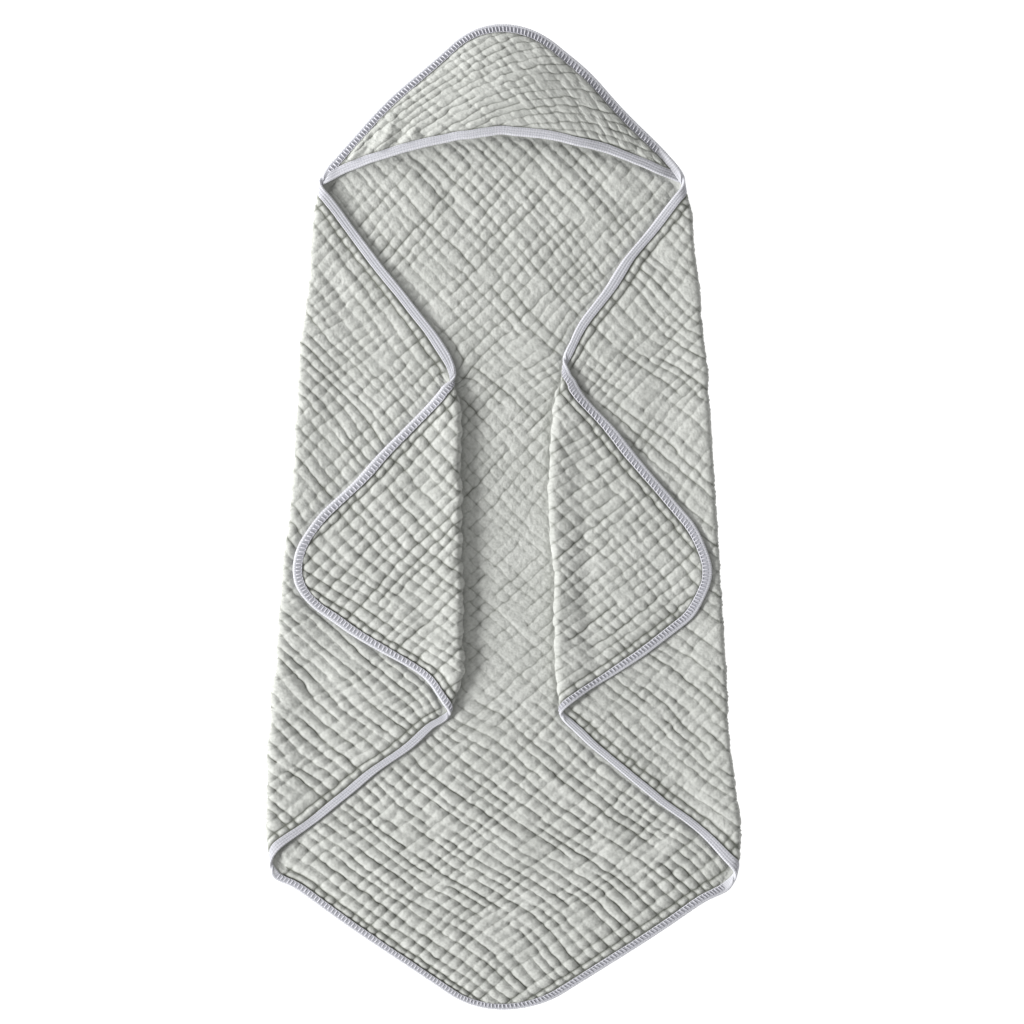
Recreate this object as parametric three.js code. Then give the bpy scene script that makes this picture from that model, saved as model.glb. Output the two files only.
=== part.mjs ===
// A hooded baby towel of crinkled muslin, laid flat as a diamond with both side corners
// folded in over the middle and back out again. Millimetres, +Z up, +Y towards the hood.

import * as THREE from 'three';

// ---- Driving dimensions -------------------------------------------------------------

const CUT_SIDE = 800;        // side of the square that the body is cut to
const CORNER_RADIUS = 80;    // its rounded corners
const CLOTH = 1.8;           // wall of the pressed muslin
const TAPE = 0.8;            // wall of the knit binding tape
const TAPE_REACH = 9;        // how far the folded tape reaches in from the edge
const SEAM_GAP = 0.3;        // clearance between sewn pieces
const FOLD_RADIUS = 2.9;     // middle of the cloth, round each soft fold
const LAYER_PITCH = 3.3;     // between two layers, away from their fold
const SETTLE = 60;           // distance from a fold in which its layers close up
const ROW_SPACING = 45;      // longest step along a column of the cloth
const FOLD_STEPS = 6;        // flats round one fold
const ARC_STEPS = 24;        // points round one cut corner
const EDGE_STEP = 5;         // longest step along a straight cut edge

const HALF_DIAGONAL = CUT_SIDE / Math.SQRT2;
const FOLD_LENGTH = Math.PI * FOLD_RADIUS;
const CLOTH_INSET = TAPE + SEAM_GAP;
const TAPE_HALF = CLOTH / 2 + SEAM_GAP + TAPE;
const CLOTH_MIDDLE = CLOTH / 2;
const EDGE_LIFT = TAPE_HALF - CLOTH_MIDDLE;
const LIFT_FULL_INSET = TAPE_REACH + 0.6;
const LIFT_END_INSET = TAPE_REACH + 4;
const HOOD_BINDING_INSET = TAPE_REACH + 9;
const HOOD_MIDDLE = TAPE_HALF + CLOTH + SEAM_GAP;

// How the square lies on its diagonal: at each part of the half diagonal, from the bottom
// corner (-1) to the hood corner (1), the level it lies at and how far each half spreads.
const LAY = [
  { cut: -1, level: -539, left: 0.96, right: 1.10 },
  { cut: -2 / 3, level: -395, left: 1.13, right: 1.18 },
  { cut: -1 / 3, level: -203, left: 1.12, right: 1.10 },
  { cut: 0, level: -32, left: 1.08, right: 1.06 },
  { cut: 1 / 3, level: 166, left: 0.98, right: 1.02 },
  { cut: 2 / 3, level: 360, left: 0.97, right: 1.01 },
  { cut: 1, level: 547, left: 0.94, right: 1.01 },
];

// The two folded sides. Each fold's outer face stands on the line x = at + lean * y, and
// corner is how far the side corner of the square is drawn up towards the hood.
const SIDES = [
  {
    side: -1,
    spread: 'left',
    corner: 51,
    outer: { at: -220, lean: 0.080 },
    inner: { at: -43, lean: -0.014 },
  },
  {
    side: 1,
    spread: 'right',
    corner: 25,
    outer: { at: 222, lean: -0.079 },
    inner: { at: 55, lean: -0.009 },
  },
];

// The curved front edge of the hood, from its highest point down past the two hood corners.
const HOOD_FRONT = { x: -1, y: 396, drop: 54, half: 195, leftPower: 1.6, rightPower: 1.9 };

// Places where the folded cloth is drawn a little to one side, as it settled: how far each
// is moved, and the distance in which that fades to a third.
const EASES = [
  { place: 'foot of the left outer fold', x: -251, y: -357, moveX: 10, moveY: 0, reach: 30 },
  { place: 'foot of the right outer fold', x: 251, y: -367, moveX: -6, moveY: -8, reach: 34 },
  { place: 'foot of the left inner fold', x: -41, y: -196, moveX: -9, moveY: -8, reach: 32 },
  { place: 'head of the right inner fold', x: 51, y: 169, moveX: 9, moveY: -5, reach: 30 },
  { place: 'middle of the right inner fold', x: 51, y: 33, moveX: -6, moveY: 0, reach: 55 },
  { place: 'left hood corner', x: -193, y: 351, moveX: 4, moveY: 0, reach: 25 },
  { place: 'right hood corner', x: 193, y: 356, moveX: -3, moveY: 0, reach: 25 },
  { place: 'left side corner', x: -212, y: -47, moveX: -4, moveY: -4, reach: 60 },
];

const MATERIALS = {
  muslin: new THREE.MeshStandardMaterial({ color: 0xbcc4b8, roughness: 0.92, metalness: 0 }),
  hoodMuslin: new THREE.MeshStandardMaterial({ color: 0xc0c8bc, roughness: 0.92, metalness: 0 }),
  tape: new THREE.MeshStandardMaterial({ color: 0xdad8e2, roughness: 0.85, metalness: 0 }),
};

// ---- The cut square and how it lies --------------------------------------------------

// Smooth curve through one column of LAY, whose rows are evenly spaced.
function layValue(column, cut) {
  const place = (cut + 1) / 2 * (LAY.length - 1);
  const row = THREE.MathUtils.clamp(Math.floor(place), 0, LAY.length - 2);
  const t = place - row;
  const b = LAY[row][column];
  const c = LAY[row + 1][column];
  const a = row > 0 ? LAY[row - 1][column] : 2 * b - c;
  const d = row + 2 < LAY.length ? LAY[row + 2][column] : 2 * c - b;
  const square = 2 * a - 5 * b + 4 * c - d;
  const cube = 3 * b - a - 3 * c + d;
  return b + 0.5 * ((c - a) * t + square * t ** 2 + cube * t ** 3);
}

// The flat square before it is folded: across and along are measured on its diagonals.
function lay(across, along) {
  const half = SIDES[across < 0 ? 0 : 1];
  const cut = along / HALF_DIAGONAL;
  return {
    x: across * layValue(half.spread, cut),
    y: layValue('level', cut) + half.corner * (across / HALF_DIAGONAL) ** 2,
  };
}

// The cut edge moved in by inset, as laid points anticlockwise from the hood corner. The
// same index names the same place on the edge at every inset.
function cutEdge(inset) {
  const cornerMiddle = Math.SQRT2 * (CUT_SIDE / 2 - CORNER_RADIUS);
  const flat = [];
  for (let corner = 0; corner < 4; corner += 1) {
    for (let step = 0; step <= ARC_STEPS; step += 1) {
      const facing = (corner + step / ARC_STEPS - 0.5) * Math.PI / 2;
      const centre = corner * Math.PI / 2;
      const across = -cornerMiddle * Math.sin(centre) - (CORNER_RADIUS - inset) * Math.sin(facing);
      const along = cornerMiddle * Math.cos(centre) + (CORNER_RADIUS - inset) * Math.cos(facing);
      flat.push({ across, along });
    }
  }
  return flat.flatMap((start, index) => {
    const end = flat[(index + 1) % flat.length];
    const straight = index % (ARC_STEPS + 1) === ARC_STEPS;
    const steps = straight ? Math.ceil((CUT_SIDE - 2 * CORNER_RADIUS) / EDGE_STEP) : 1;
    return Array.from({ length: steps }, (_, step) => lay(
      THREE.MathUtils.lerp(start.across, end.across, step / steps),
      THREE.MathUtils.lerp(start.along, end.along, step / steps),
    ));
  });
}

// The hood's front edge moved in by inset, as laid points from its left corner to its right.
function hoodFront(inset) {
  const steps = Math.ceil(2 * HOOD_FRONT.half / EDGE_STEP);
  return Array.from({ length: steps + 1 }, (_, step) => {
    const along = 2 * step / steps - 1;
    const power = along < 0 ? HOOD_FRONT.leftPower : HOOD_FRONT.rightPower;
    const slope = HOOD_FRONT.drop * power * Math.abs(along) ** (power - 1) / HOOD_FRONT.half;
    const y = HOOD_FRONT.y - HOOD_FRONT.drop * Math.abs(along) ** power;
    return { x: HOOD_FRONT.x + along * HOOD_FRONT.half, y: y + inset * Math.hypot(1, slope) };
  });
}

// Where a polyline crosses the line x = at + lean * y, highest first.
function crossings(points, line, closed = true) {
  const found = [];
  const beyond = (point) => point.x - line.at - line.lean * point.y;
  for (let index = 0; index < points.length - (closed ? 0 : 1); index += 1) {
    const start = points[index];
    const end = points[(index + 1) % points.length];
    if (beyond(start) < 0 === beyond(end) < 0) continue;
    const part = beyond(start) / (beyond(start) - beyond(end));
    found.push({ ...between(start, end, part), place: index + part });
  }
  return found.sort((a, b) => b.y - a.y);
}

function between(start, end, part) {
  return { x: THREE.MathUtils.lerp(start.x, end.x, part), y: THREE.MathUtils.lerp(start.y, end.y, part) };
}

// The point of a closed polyline at a place given by crossings.
function atPlace(points, place) {
  const index = Math.floor(place);
  return between(points[index], points[(index + 1) % points.length], place - index);
}

const EDGES = {
  outside: cutEdge(0),
  tapeInside: cutEdge(TAPE),
  cloth: cutEdge(CLOTH_INSET),
  reach: cutEdge(TAPE_REACH),
  liftFull: cutEdge(LIFT_FULL_INSET),
  liftEnd: cutEdge(LIFT_END_INSET),
};

const FRONT = {
  outside: hoodFront(0),
  tapeInside: hoodFront(TAPE),
  cloth: hoodFront(CLOTH_INSET),
  reach: hoodFront(TAPE_REACH),
};

// ---- The folds ------------------------------------------------------------------------

// Distance of a point past a fold's starting line, in its direction of travel.
function pastFold(point, line, travel) {
  return travel * (point.x - line.at - line.lean * point.y) / Math.hypot(1, line.lean);
}

// A point carried squarely away from a fold's line.
function moved(point, line, travel, distance) {
  const step = travel * distance / Math.hypot(1, line.lean);
  return { x: point.x + step, y: point.y - step * line.lean };
}

// The line a given distance beyond another, in a direction of travel.
function parallel(line, travel, distance) {
  return { at: line.at + travel * distance * Math.hypot(1, line.lean), lean: line.lean };
}

// The line where the cloth starts to leave its layer for a fold.
function foldStart(fold, travel) {
  return parallel(fold, travel, -FOLD_RADIUS);
}

// Rise from one layer to the next at a distance from the fold between them.
function layerStep(distance) {
  const closed = THREE.MathUtils.smoothstep(distance, 0, SETTLE);
  return THREE.MathUtils.lerp(2 * FOLD_RADIUS, LAYER_PITCH, closed);
}

// Carries a laid point round the folds: its place on the middle of the cloth, and the way
// that the front of the cloth faces there.
function fold(point, lift = 0) {
  const half = SIDES[point.x < 0 ? 0 : 1];
  const start = foldStart(half.outer, half.side);
  const past = pastFold(point, start, half.side);
  if (past <= 0) return { at: vector(point, CLOTH_MIDDLE + lift), front: new THREE.Vector3(0, 0, 1) };
  const foot = moved(point, start, half.side, -past);
  if (past < FOLD_LENGTH) {
    const turn = past / FOLD_RADIUS;
    const base = CLOTH_MIDDLE + lift * (1 - turn / Math.PI);
    return roundFold(foot, start, half.side, turn, base, 1);
  }
  const middle = moved(foot, start, half.side, FOLD_LENGTH - past);
  return foldBack(middle, half);
}

// The second fold, from the middle layer up to the corner that lies on top.
function foldBack(point, half) {
  const travel = -half.side;
  const start = foldStart(half.inner, travel);
  const past = pastFold(point, start, travel);
  if (past <= 0) return { at: vector(point, middleLevel(point, half)), front: new THREE.Vector3(0, 0, -1) };
  const foot = moved(point, start, travel, -past);
  if (past < FOLD_LENGTH) {
    return roundFold(foot, start, travel, past / FOLD_RADIUS, middleLevel(foot, half), -1);
  }
  const top = moved(foot, start, travel, FOLD_LENGTH - past);
  const level = middleLevel(top, half) + layerStep(past - FOLD_LENGTH);
  return { at: vector(top, level), front: new THREE.Vector3(0, 0, 1) };
}

// Level of the middle layer over a point of the plan.
function middleLevel(point, half) {
  return CLOTH_MIDDLE + layerStep(-pastFold(point, foldStart(half.outer, half.side), half.side));
}

// A point part of the way round a fold that starts at foot. Face is 1 where the front of
// the cloth is inside the fold, and -1 where it is outside.
function roundFold(foot, start, travel, turn, base, face) {
  const across = FOLD_RADIUS * Math.sin(turn);
  const at = vector(moved(foot, start, travel, across), base + FOLD_RADIUS * (1 - Math.cos(turn)));
  const outward = moved({ x: 0, y: 0 }, start, travel, 1);
  const front = new THREE.Vector3(-outward.x * Math.sin(turn), -outward.y * Math.sin(turn), Math.cos(turn));
  return { at, front: front.multiplyScalar(face) };
}

function vector(point, z) {
  return new THREE.Vector3(point.x, point.y, z);
}

// ---- Columns: lines down the laid cloth that follow its folds ---------------------------

// Where the columns stand: as parts of the way from the left outer fold to the middle, and
// from an outer fold to its inner fold, and as distances in from a side corner.
const BOTTOM_PARTS = [0.02, 0.045, 0.08, 0.12, 0.17, 0.225, 0.28, 0.33, 0.38, 0.42, 0.455, 0.4775];
const MIDDLE_PARTS = [0.08, 0.18, 0.3, 0.48, 0.74];
const TIP_DEPTHS = [0.6, 3.2, 8, 15, 24, 36, 52, 76, 108];

function lineBetween(start, end, part) {
  return {
    at: THREE.MathUtils.lerp(start.at, end.at, part),
    lean: THREE.MathUtils.lerp(start.lean, end.lean, part),
  };
}

// The starting line of the second fold, as it lies before the first fold is made.
function unfoldedInnerStart(half) {
  const inner = foldStart(half.inner, -half.side);
  const outer = foldStart(half.outer, half.side);
  const ends = [-CUT_SIDE / 2, CUT_SIDE / 2].map((y) => {
    const point = { x: inner.at + inner.lean * y, y };
    const inside = -pastFold(point, outer, half.side);
    return moved(moved(point, outer, half.side, inside), outer, half.side, FOLD_LENGTH + inside);
  });
  const lean = (ends[1].x - ends[0].x) / (ends[1].y - ends[0].y);
  return { at: ends[0].x - lean * ends[0].y, lean };
}

function foldColumns(start, half) {
  return Array.from({ length: FOLD_STEPS + 1 }, (_, step) => (
    parallel(start, half.side, FOLD_LENGTH * step / FOLD_STEPS)
  ));
}

// Columns of one side, from its outer fold to the side corner of the square.
function sideColumns(half) {
  const outer = foldStart(half.outer, half.side);
  const inner = unfoldedInnerStart(half);
  const outerEnd = parallel(outer, half.side, FOLD_LENGTH);
  const innerEnd = parallel(inner, half.side, FOLD_LENGTH);
  const reach = Math.max(...EDGES.cloth.map((point) => pastFold(point, innerEnd, half.side)));
  const middle = MIDDLE_PARTS.map((part) => lineBetween(outerEnd, inner, part));
  const tip = TIP_DEPTHS.toReversed().map((depth) => (
    { ...parallel(innerEnd, half.side, reach - depth), tip: true }
  ));
  return [...foldColumns(outer, half), ...middle, ...foldColumns(inner, half), ...tip];
}

function allColumns() {
  const [left, right] = SIDES.map((half) => foldStart(half.outer, half.side));
  const parts = [...BOTTOM_PARTS, 0.5, ...BOTTOM_PARTS.toReversed().map((part) => 1 - part)];
  const bottom = parts.map((part) => ({ ...lineBetween(left, right, part), bottom: true }));
  return [...sideColumns(SIDES[0]).toReversed(), ...bottom, ...sideColumns(SIDES[1])];
}

const COLUMNS = allColumns();

// ---- Solids -----------------------------------------------------------------------------

// Points of a column from edge to edge. The order of each is how far down it stands: whole
// numbers on the rings beside the two edges, and parts of the way between them.
function columnPoints(topRings, bottomRings) {
  const top = topRings.at(-1);
  const bottom = bottomRings[0];
  const steps = Math.max(1, Math.ceil((top.y - bottom.y) / ROW_SPACING));
  const inner = Array.from({ length: steps - 1 }, (_, step) => (
    { ...between(top, bottom, (step + 1) / steps), order: (step + 1) / steps }
  ));
  return [
    ...topRings.map((point, ring) => ({ ...point, order: ring + 1 - topRings.length })),
    ...inner,
    ...bottomRings.map((point, ring) => ({ ...point, order: ring + 1 })),
  ];
}

// Triangles between neighbouring columns of points, each in order from the top down.
function zipColumns(columns) {
  const firsts = [];
  let count = 0;
  columns.forEach((column) => {
    firsts.push(count);
    count += column.length;
  });
  const triangles = [];
  for (let index = 0; index + 1 < columns.length; index += 1) {
    let left = 0;
    let right = 0;
    const [a, b] = [columns[index], columns[index + 1]];
    while (left + 1 < a.length || right + 1 < b.length) {
      const here = firsts[index] + left;
      const there = firsts[index + 1] + right;
      const nextLeft = a[left + 1]?.order ?? Infinity;
      const nextRight = b[right + 1]?.order ?? Infinity;
      const stepLeft = nextLeft < nextRight;
      triangles.push(stepLeft ? [here, here + 1, there] : [here, there + 1, there]);
      if (stepLeft) left += 1;
      else right += 1;
    }
  }
  return triangles;
}

// A closed wall of cloth from a patch of triangles, anticlockwise on its front, and the
// middle point and facing of each of its corners.
function clothWall(corners, triangles) {
  const faces = [];
  const count = corners.length;
  const open = new Map();
  triangles.forEach((triangle) => {
    faces.push(triangle, triangle.map((corner) => corner + count).toReversed());
    triangle.forEach((from, step) => {
      const to = triangle[(step + 1) % 3];
      if (!open.delete(`${to},${from}`)) open.set(`${from},${to}`, [from, to]);
    });
  });
  open.forEach(([from, to]) => faces.push([from, from + count, to + count], [from, to + count, to]));
  const front = corners.map(({ at, front: facing }) => at.clone().addScaledVector(facing, CLOTH / 2));
  const back = corners.map(({ at, front: facing }) => at.clone().addScaledVector(facing, -CLOTH / 2));
  return solid([...front, ...back], faces);
}

// A folded point after the cloth has settled. All its layers move together.
function eased({ x, y, z }) {
  const place = { x, y };
  EASES.forEach((ease) => {
    const share = Math.exp(-((x - ease.x) ** 2 + (y - ease.y) ** 2) / ease.reach ** 2);
    place.x += share * ease.moveX;
    place.y += share * ease.moveY;
  });
  return [place.x, place.y, z];
}

function solid(points, faces) {
  const geometry = new THREE.BufferGeometry();
  geometry.setAttribute('position', new THREE.Float32BufferAttribute(points.flatMap(eased), 3));
  geometry.setIndex(faces.flat());
  geometry.computeVertexNormals();
  return geometry;
}

// The body: every column from edge to edge, lifted off its layer where the tape goes under.
function bodyGeometry() {
  const columns = COLUMNS.map((line) => {
    const [top, bottom] = crossings(EDGES.cloth, line);
    const full = crossings(EDGES.liftFull, line);
    const end = crossings(EDGES.liftEnd, line);
    if (line.tip || full.length < 2 || end.length < 2) return columnPoints([top], [bottom]);
    const [highTop, highFull, highBottomFull, highBottom] = [top, full[0], full[1], bottom].map((point) => (
      { ...point, lift: EDGE_LIFT }
    ));
    return columnPoints([highTop, highFull, end[0]], [end[1], highBottomFull, highBottom]);
  });
  const corners = columns.flat().map((point) => fold(point, point.lift));
  return clothWall(corners, zipColumns(columns));
}

// Columns on which the hood's cloth stands between its front edge and the outer edge.
function hoodColumns() {
  const shortest = 2;
  return COLUMNS.filter((line) => line.bottom).flatMap((line) => {
    const [top] = crossings(EDGES.cloth, line);
    const [front] = crossings(FRONT.cloth, line, false);
    return front && top.y - front.y > shortest ? [{ line, top, front }] : [];
  });
}

function hoodGeometry() {
  const columns = hoodColumns().map(({ top, front }) => columnPoints([top], [front]));
  const facing = new THREE.Vector3(0, 0, 1);
  const corners = columns.flat().map((point) => ({ at: vector(point, HOOD_MIDDLE), front: facing }));
  return clothWall(corners, zipColumns(columns));
}

// The places that a section of folded tape is drawn from, across the edge that it covers.
const TAPE_PLACES = ['outside', 'tapeInside', 'reach'];

// One cut through a tape folded over an edge. Low and high are how far it reaches below and
// above the middle of the cloth.
function tapeSection(places, low, high) {
  const corner = (place, height) => place.at.clone().addScaledVector(place.front, height);
  const { outside, tapeInside, reach } = places;
  return [
    corner(reach, -low),
    corner(outside, -low),
    corner(outside, high),
    corner(reach, high),
    corner(reach, high - TAPE),
    corner(tapeInside, high - TAPE),
    corner(tapeInside, TAPE - low),
    corner(reach, TAPE - low),
  ];
}

// A tape through its sections, joined end to end or capped.
function tapeGeometry(sections, closed) {
  const size = sections[0].length;
  const faces = [];
  const lengths = closed ? sections.length : sections.length - 1;
  for (let index = 0; index < lengths; index += 1) {
    const here = index * size;
    const next = (index + 1) % sections.length * size;
    for (let side = 0; side < size; side += 1) {
      const other = (side + 1) % size;
      faces.push([here + side, next + side, next + other], [here + side, next + other, here + other]);
    }
  }
  if (!closed) {
    const last = (sections.length - 1) * size;
    const caps = [[0, 1, 6], [0, 6, 7], [1, 2, 5], [1, 5, 6], [2, 3, 4], [2, 4, 5]];
    caps.forEach((cap) => faces.push(cap, cap.map((corner) => corner + last).toReversed()));
  }
  return solid(sections.flat(), faces);
}

// Sections of the outer binding where a column meets the edge. They lie along the column,
// so each keeps one angle round a fold, and square to the edge at the side corners.
function edgeSection(line, end, hooded) {
  const cloth = crossings(EDGES.cloth, line)[end];
  const places = TAPE_PLACES.map((name) => {
    const point = line.tip ? atPlace(EDGES[name], cloth.place) : crossings(EDGES[name], line)[end];
    return [name, fold(point, EDGE_LIFT)];
  });
  const high = TAPE_HALF + (hooded ? CLOTH + SEAM_GAP : 0);
  return tapeSection(Object.fromEntries(places), TAPE_HALF, high);
}

function edgeBindingGeometry() {
  const hooded = new Set(hoodColumns().map(({ line }) => line));
  const tops = COLUMNS.toReversed().map((line) => edgeSection(line, 0, hooded.has(line)));
  const bottoms = COLUMNS.map((line) => edgeSection(line, 1, false));
  return tapeGeometry([...tops, ...bottoms], true);
}

// The hood's front binding stops short of the outer binding, cut to its line, and clear of
// the folded sides that start beside the hood corners.
function hoodBindingGeometry() {
  const stop = cutEdge(HOOD_BINDING_INSET);
  const flat = (point) => ({ at: vector(point, HOOD_MIDDLE), front: new THREE.Vector3(0, 0, 1) });
  const section = (find) => {
    const places = TAPE_PLACES.map((name) => [name, flat(find(FRONT[name]))]);
    return tapeSection(Object.fromEntries(places), TAPE_HALF, TAPE_HALF);
  };
  const square = COLUMNS.filter((line) => {
    const [inner] = crossings(FRONT.reach, line, false);
    return inner && crossings(stop, line)[0].y - inner.y > TAPE_REACH / 2;
  });
  const sections = square.map((line) => section((front) => crossings(front, line, false)[0]));
  const ends = [-1, 1].map((side) => section((front) => meeting(front, stop, side)));
  return tapeGeometry([ends[0], ...sections, ends[1]], false);
}

// Where the front edge passes under the line that stops it, on one side of the hood.
function meeting(front, stop, side) {
  const ordered = side < 0 ? front.toReversed() : front;
  const clearance = (point) => crossings(stop, { at: point.x, lean: 0 })[0].y - point.y;
  const from = ordered.findIndex((point, index) => (
    point.x * side > 0 && index + 1 < ordered.length && clearance(ordered[index + 1]) < 0
  ));
  const [near, far] = [ordered[from], ordered[from + 1]];
  return between(near, far, clearance(near) / (clearance(near) - clearance(far)));
}

// ---- The towel ----------------------------------------------------------------------------

function piece(name, geometry, material) {
  const mesh = new THREE.Mesh(geometry, material);
  mesh.name = name;
  return mesh;
}

const towel = new THREE.Group();
towel.add(
  piece('towel_body', bodyGeometry(), MATERIALS.muslin),
  piece('hood_panel', hoodGeometry(), MATERIALS.hoodMuslin),
  piece('hood_binding', hoodBindingGeometry(), MATERIALS.tape),
  piece('edge_binding', edgeBindingGeometry(), MATERIALS.tape),
);

// The origin is under the middle of the laid towel.
const bounds = new THREE.Box3().setFromObject(towel);
const middle = bounds.getCenter(new THREE.Vector3());
towel.position.set(-middle.x, -middle.y, -bounds.min.z);

export default towel;
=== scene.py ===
"""Looks of a hooded baby towel of crinkled muslin, laid flat with both sides folded in and out again.

Sizes are millimetres until a mesh is made, and meshes are in metres. The frame's +Y points to
the hood and +Z up. The body is cut from a square laid on its diagonal: across and along are
measured on its diagonals, u and v along its two thread directions.
"""

import logging
import math
from collections.abc import Callable
from dataclasses import dataclass
from enum import Enum

import bpy
import numpy as np
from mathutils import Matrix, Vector


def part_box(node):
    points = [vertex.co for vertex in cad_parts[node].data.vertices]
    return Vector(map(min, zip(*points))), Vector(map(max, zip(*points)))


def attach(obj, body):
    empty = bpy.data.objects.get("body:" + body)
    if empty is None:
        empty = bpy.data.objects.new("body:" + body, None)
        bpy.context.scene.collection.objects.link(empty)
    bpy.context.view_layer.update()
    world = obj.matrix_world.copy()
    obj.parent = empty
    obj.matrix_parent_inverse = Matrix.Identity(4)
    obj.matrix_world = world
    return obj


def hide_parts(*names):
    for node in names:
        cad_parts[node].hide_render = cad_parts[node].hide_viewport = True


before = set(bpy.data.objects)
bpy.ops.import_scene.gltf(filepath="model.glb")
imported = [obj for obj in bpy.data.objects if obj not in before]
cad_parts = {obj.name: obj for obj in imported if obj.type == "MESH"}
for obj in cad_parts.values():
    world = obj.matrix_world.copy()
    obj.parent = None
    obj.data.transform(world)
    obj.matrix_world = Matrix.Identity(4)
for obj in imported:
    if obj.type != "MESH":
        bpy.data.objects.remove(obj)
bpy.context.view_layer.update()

MM = 0.001
VIEW_MIDDLE = (10.4, 5.2)   # where the camera looks on the plan, before the plan is centred
ROOT_BODY = "root"
Array = np.ndarray
Socket = bpy.types.NodeSocket
log = logging.getLogger("towel")


# ---- Small helpers ----


def lerp(start: Array, end: Array, part: Array) -> Array:
    """A value part of the way from start to end."""
    return start + (end - start) * part


def smoothstep(low: float, high: float, value: Array) -> Array:
    """0 below low, 1 above high and a soft rise between them."""
    t = np.clip((value - low) / (high - low), 0.0, 1.0)
    return t * t * (3.0 - 2.0 * t)


def soft_noise(x: Array, y: Array, size: float, seed: int) -> Array:
    """Smooth noise over the plane.

    Args:
        x, y: Coordinates.
        size: Distance from one free value to the next.
        seed: Picks the values.

    Returns:
        Values from -1 to 1, the same for the same seed.
    """
    count = 256
    table = np.random.default_rng(seed).uniform(-1.0, 1.0, (count, count))
    gx, gy = np.broadcast_arrays(np.asarray(x) / size, np.asarray(y) / size)
    ix, iy = np.floor(gx).astype(int), np.floor(gy).astype(int)
    fx, fy = gx - ix, gy - iy
    sx, sy = fx * fx * (3.0 - 2.0 * fx), fy * fy * (3.0 - 2.0 * fy)
    ix, iy, jx, jy = ix % count, iy % count, (ix + 1) % count, (iy + 1) % count
    return lerp(lerp(table[ix, iy], table[jx, iy], sx), lerp(table[ix, jy], table[jx, jy], sx), sy)


def diagonals(u: Array, v: Array) -> tuple:
    """Places across and along the square's diagonals, from u and v."""
    return (u - v) / math.sqrt(2.0), (u + v) / math.sqrt(2.0)


def unit(vectors: Array) -> Array:
    """Rows of vectors scaled to length 1."""
    return vectors / np.maximum(np.linalg.norm(vectors, axis=-1, keepdims=True), 1e-9)


@dataclass
class MeshParts:
    """Points in millimetres, faces of three or more corners, and values kept on the points."""

    points: Array
    faces: list
    values: dict
    cut: Array    # where each point is on the flat cloth

    def build(self, name: str) -> bpy.types.Object:
        """Makes the Blender object.

        Args:
            name: The object's name.

        Returns:
            The object, linked into the scene, with smooth faces.
        """
        mesh = bpy.data.meshes.new(name)
        sizes = np.array([len(face) for face in self.faces], np.int32)
        corners = np.fromiter((c for face in self.faces for c in face), np.int32, int(sizes.sum()))
        mesh.vertices.add(len(self.points))
        mesh.vertices.foreach_set("co", (self.points * MM).astype(np.float32).ravel())
        mesh.loops.add(len(corners))
        mesh.loops.foreach_set("vertex_index", corners)
        mesh.polygons.add(len(sizes))
        starts = np.concatenate([[0], np.cumsum(sizes)[:-1]]).astype(np.int32)
        mesh.polygons.foreach_set("loop_start", starts)
        mesh.polygons.foreach_set("use_smooth", np.ones(len(sizes), bool))
        mesh.update(calc_edges=True)
        mesh.validate()
        for key, value in self.values.items():
            mesh.attributes.new(key, "FLOAT", "POINT").data.foreach_set("value", value.astype(np.float32))
        used = np.zeros(len(mesh.loops), np.int32)
        mesh.loops.foreach_get("vertex_index", used)
        uv = (self.cut[used] * MM).astype(np.float32).ravel()
        mesh.uv_layers.new(name="cut").data.foreach_set("uv", uv)
        thing = bpy.data.objects.new(name, mesh)
        bpy.context.scene.collection.objects.link(thing)
        return thing


def join_parts(parts: list) -> MeshParts:
    """Several MeshParts as one.

    Args:
        parts: The meshes, which keep no values on their points.

    Returns:
        The joined mesh.
    """
    first, faces = 0, []
    for part in parts:
        faces.extend([tuple(c + first for c in face) for face in part.faces])
        first += len(part.points)
    points, cut = (np.concatenate([getattr(part, name) for part in parts]) for name in ("points", "cut"))
    return MeshParts(points, faces, {}, cut)


def drop_loose(parts: MeshParts) -> MeshParts:
    """Leaves out the points that no face uses.

    Args:
        parts: The mesh to clear.

    Returns:
        The same mesh without them.
    """
    used = np.zeros(len(parts.points), bool)
    for face in parts.faces:
        used[list(face)] = True
    new = np.cumsum(used) - 1
    faces = [tuple(int(new[c]) for c in face) for face in parts.faces]
    values = {key: value[used] for key, value in parts.values.items()}
    return MeshParts(parts.points[used], faces, values, parts.cut[used])


def tube_faces(rings: int, size: int, closed: bool) -> list:
    """Quads between neighbouring rings of points, with caps unless the tube is closed.

    Args:
        rings: How many rings there are.
        size: Points in each ring.
        closed: Whether the last ring joins the first.

    Returns:
        The faces, as point numbers.
    """
    faces = []
    for ring in range(rings if closed else rings - 1):
        here, there = ring * size, (ring + 1) % rings * size
        for side in range(size):
            other = (side + 1) % size
            faces.append((here + side, there + side, there + other, here + other))
    if not closed:
        last = (rings - 1) * size
        faces.append(tuple(range(size)))
        faces.append(tuple(last + side for side in reversed(range(size))))
    return faces


class Piece:
    """A visible piece of the towel, which builds its own mesh and dresses it."""

    name: str
    slot: str = "binding_tape"    # a material slot's name
    nodes: tuple = ()             # the CAD nodes that it stands for

    def build(self) -> bpy.types.Object:
        """Makes the bare piece."""
        raise NotImplementedError

    def dressed(self, material: bpy.types.Material) -> bpy.types.Object:
        """Builds the piece and gives it its finish, its place on the body and its CAD nodes.

        Args:
            material: Its finish.

        Returns:
            The dressed piece.
        """
        piece = self.build()
        piece.data.materials.append(material)
        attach(piece, ROOT_BODY)
        if self.nodes:
            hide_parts(*self.nodes)
        piece.data.calc_loop_triangles()
        log.info("%s: %d triangles", piece.name, len(piece.data.loop_triangles))
        return piece


# ---- Finishes ----


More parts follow.
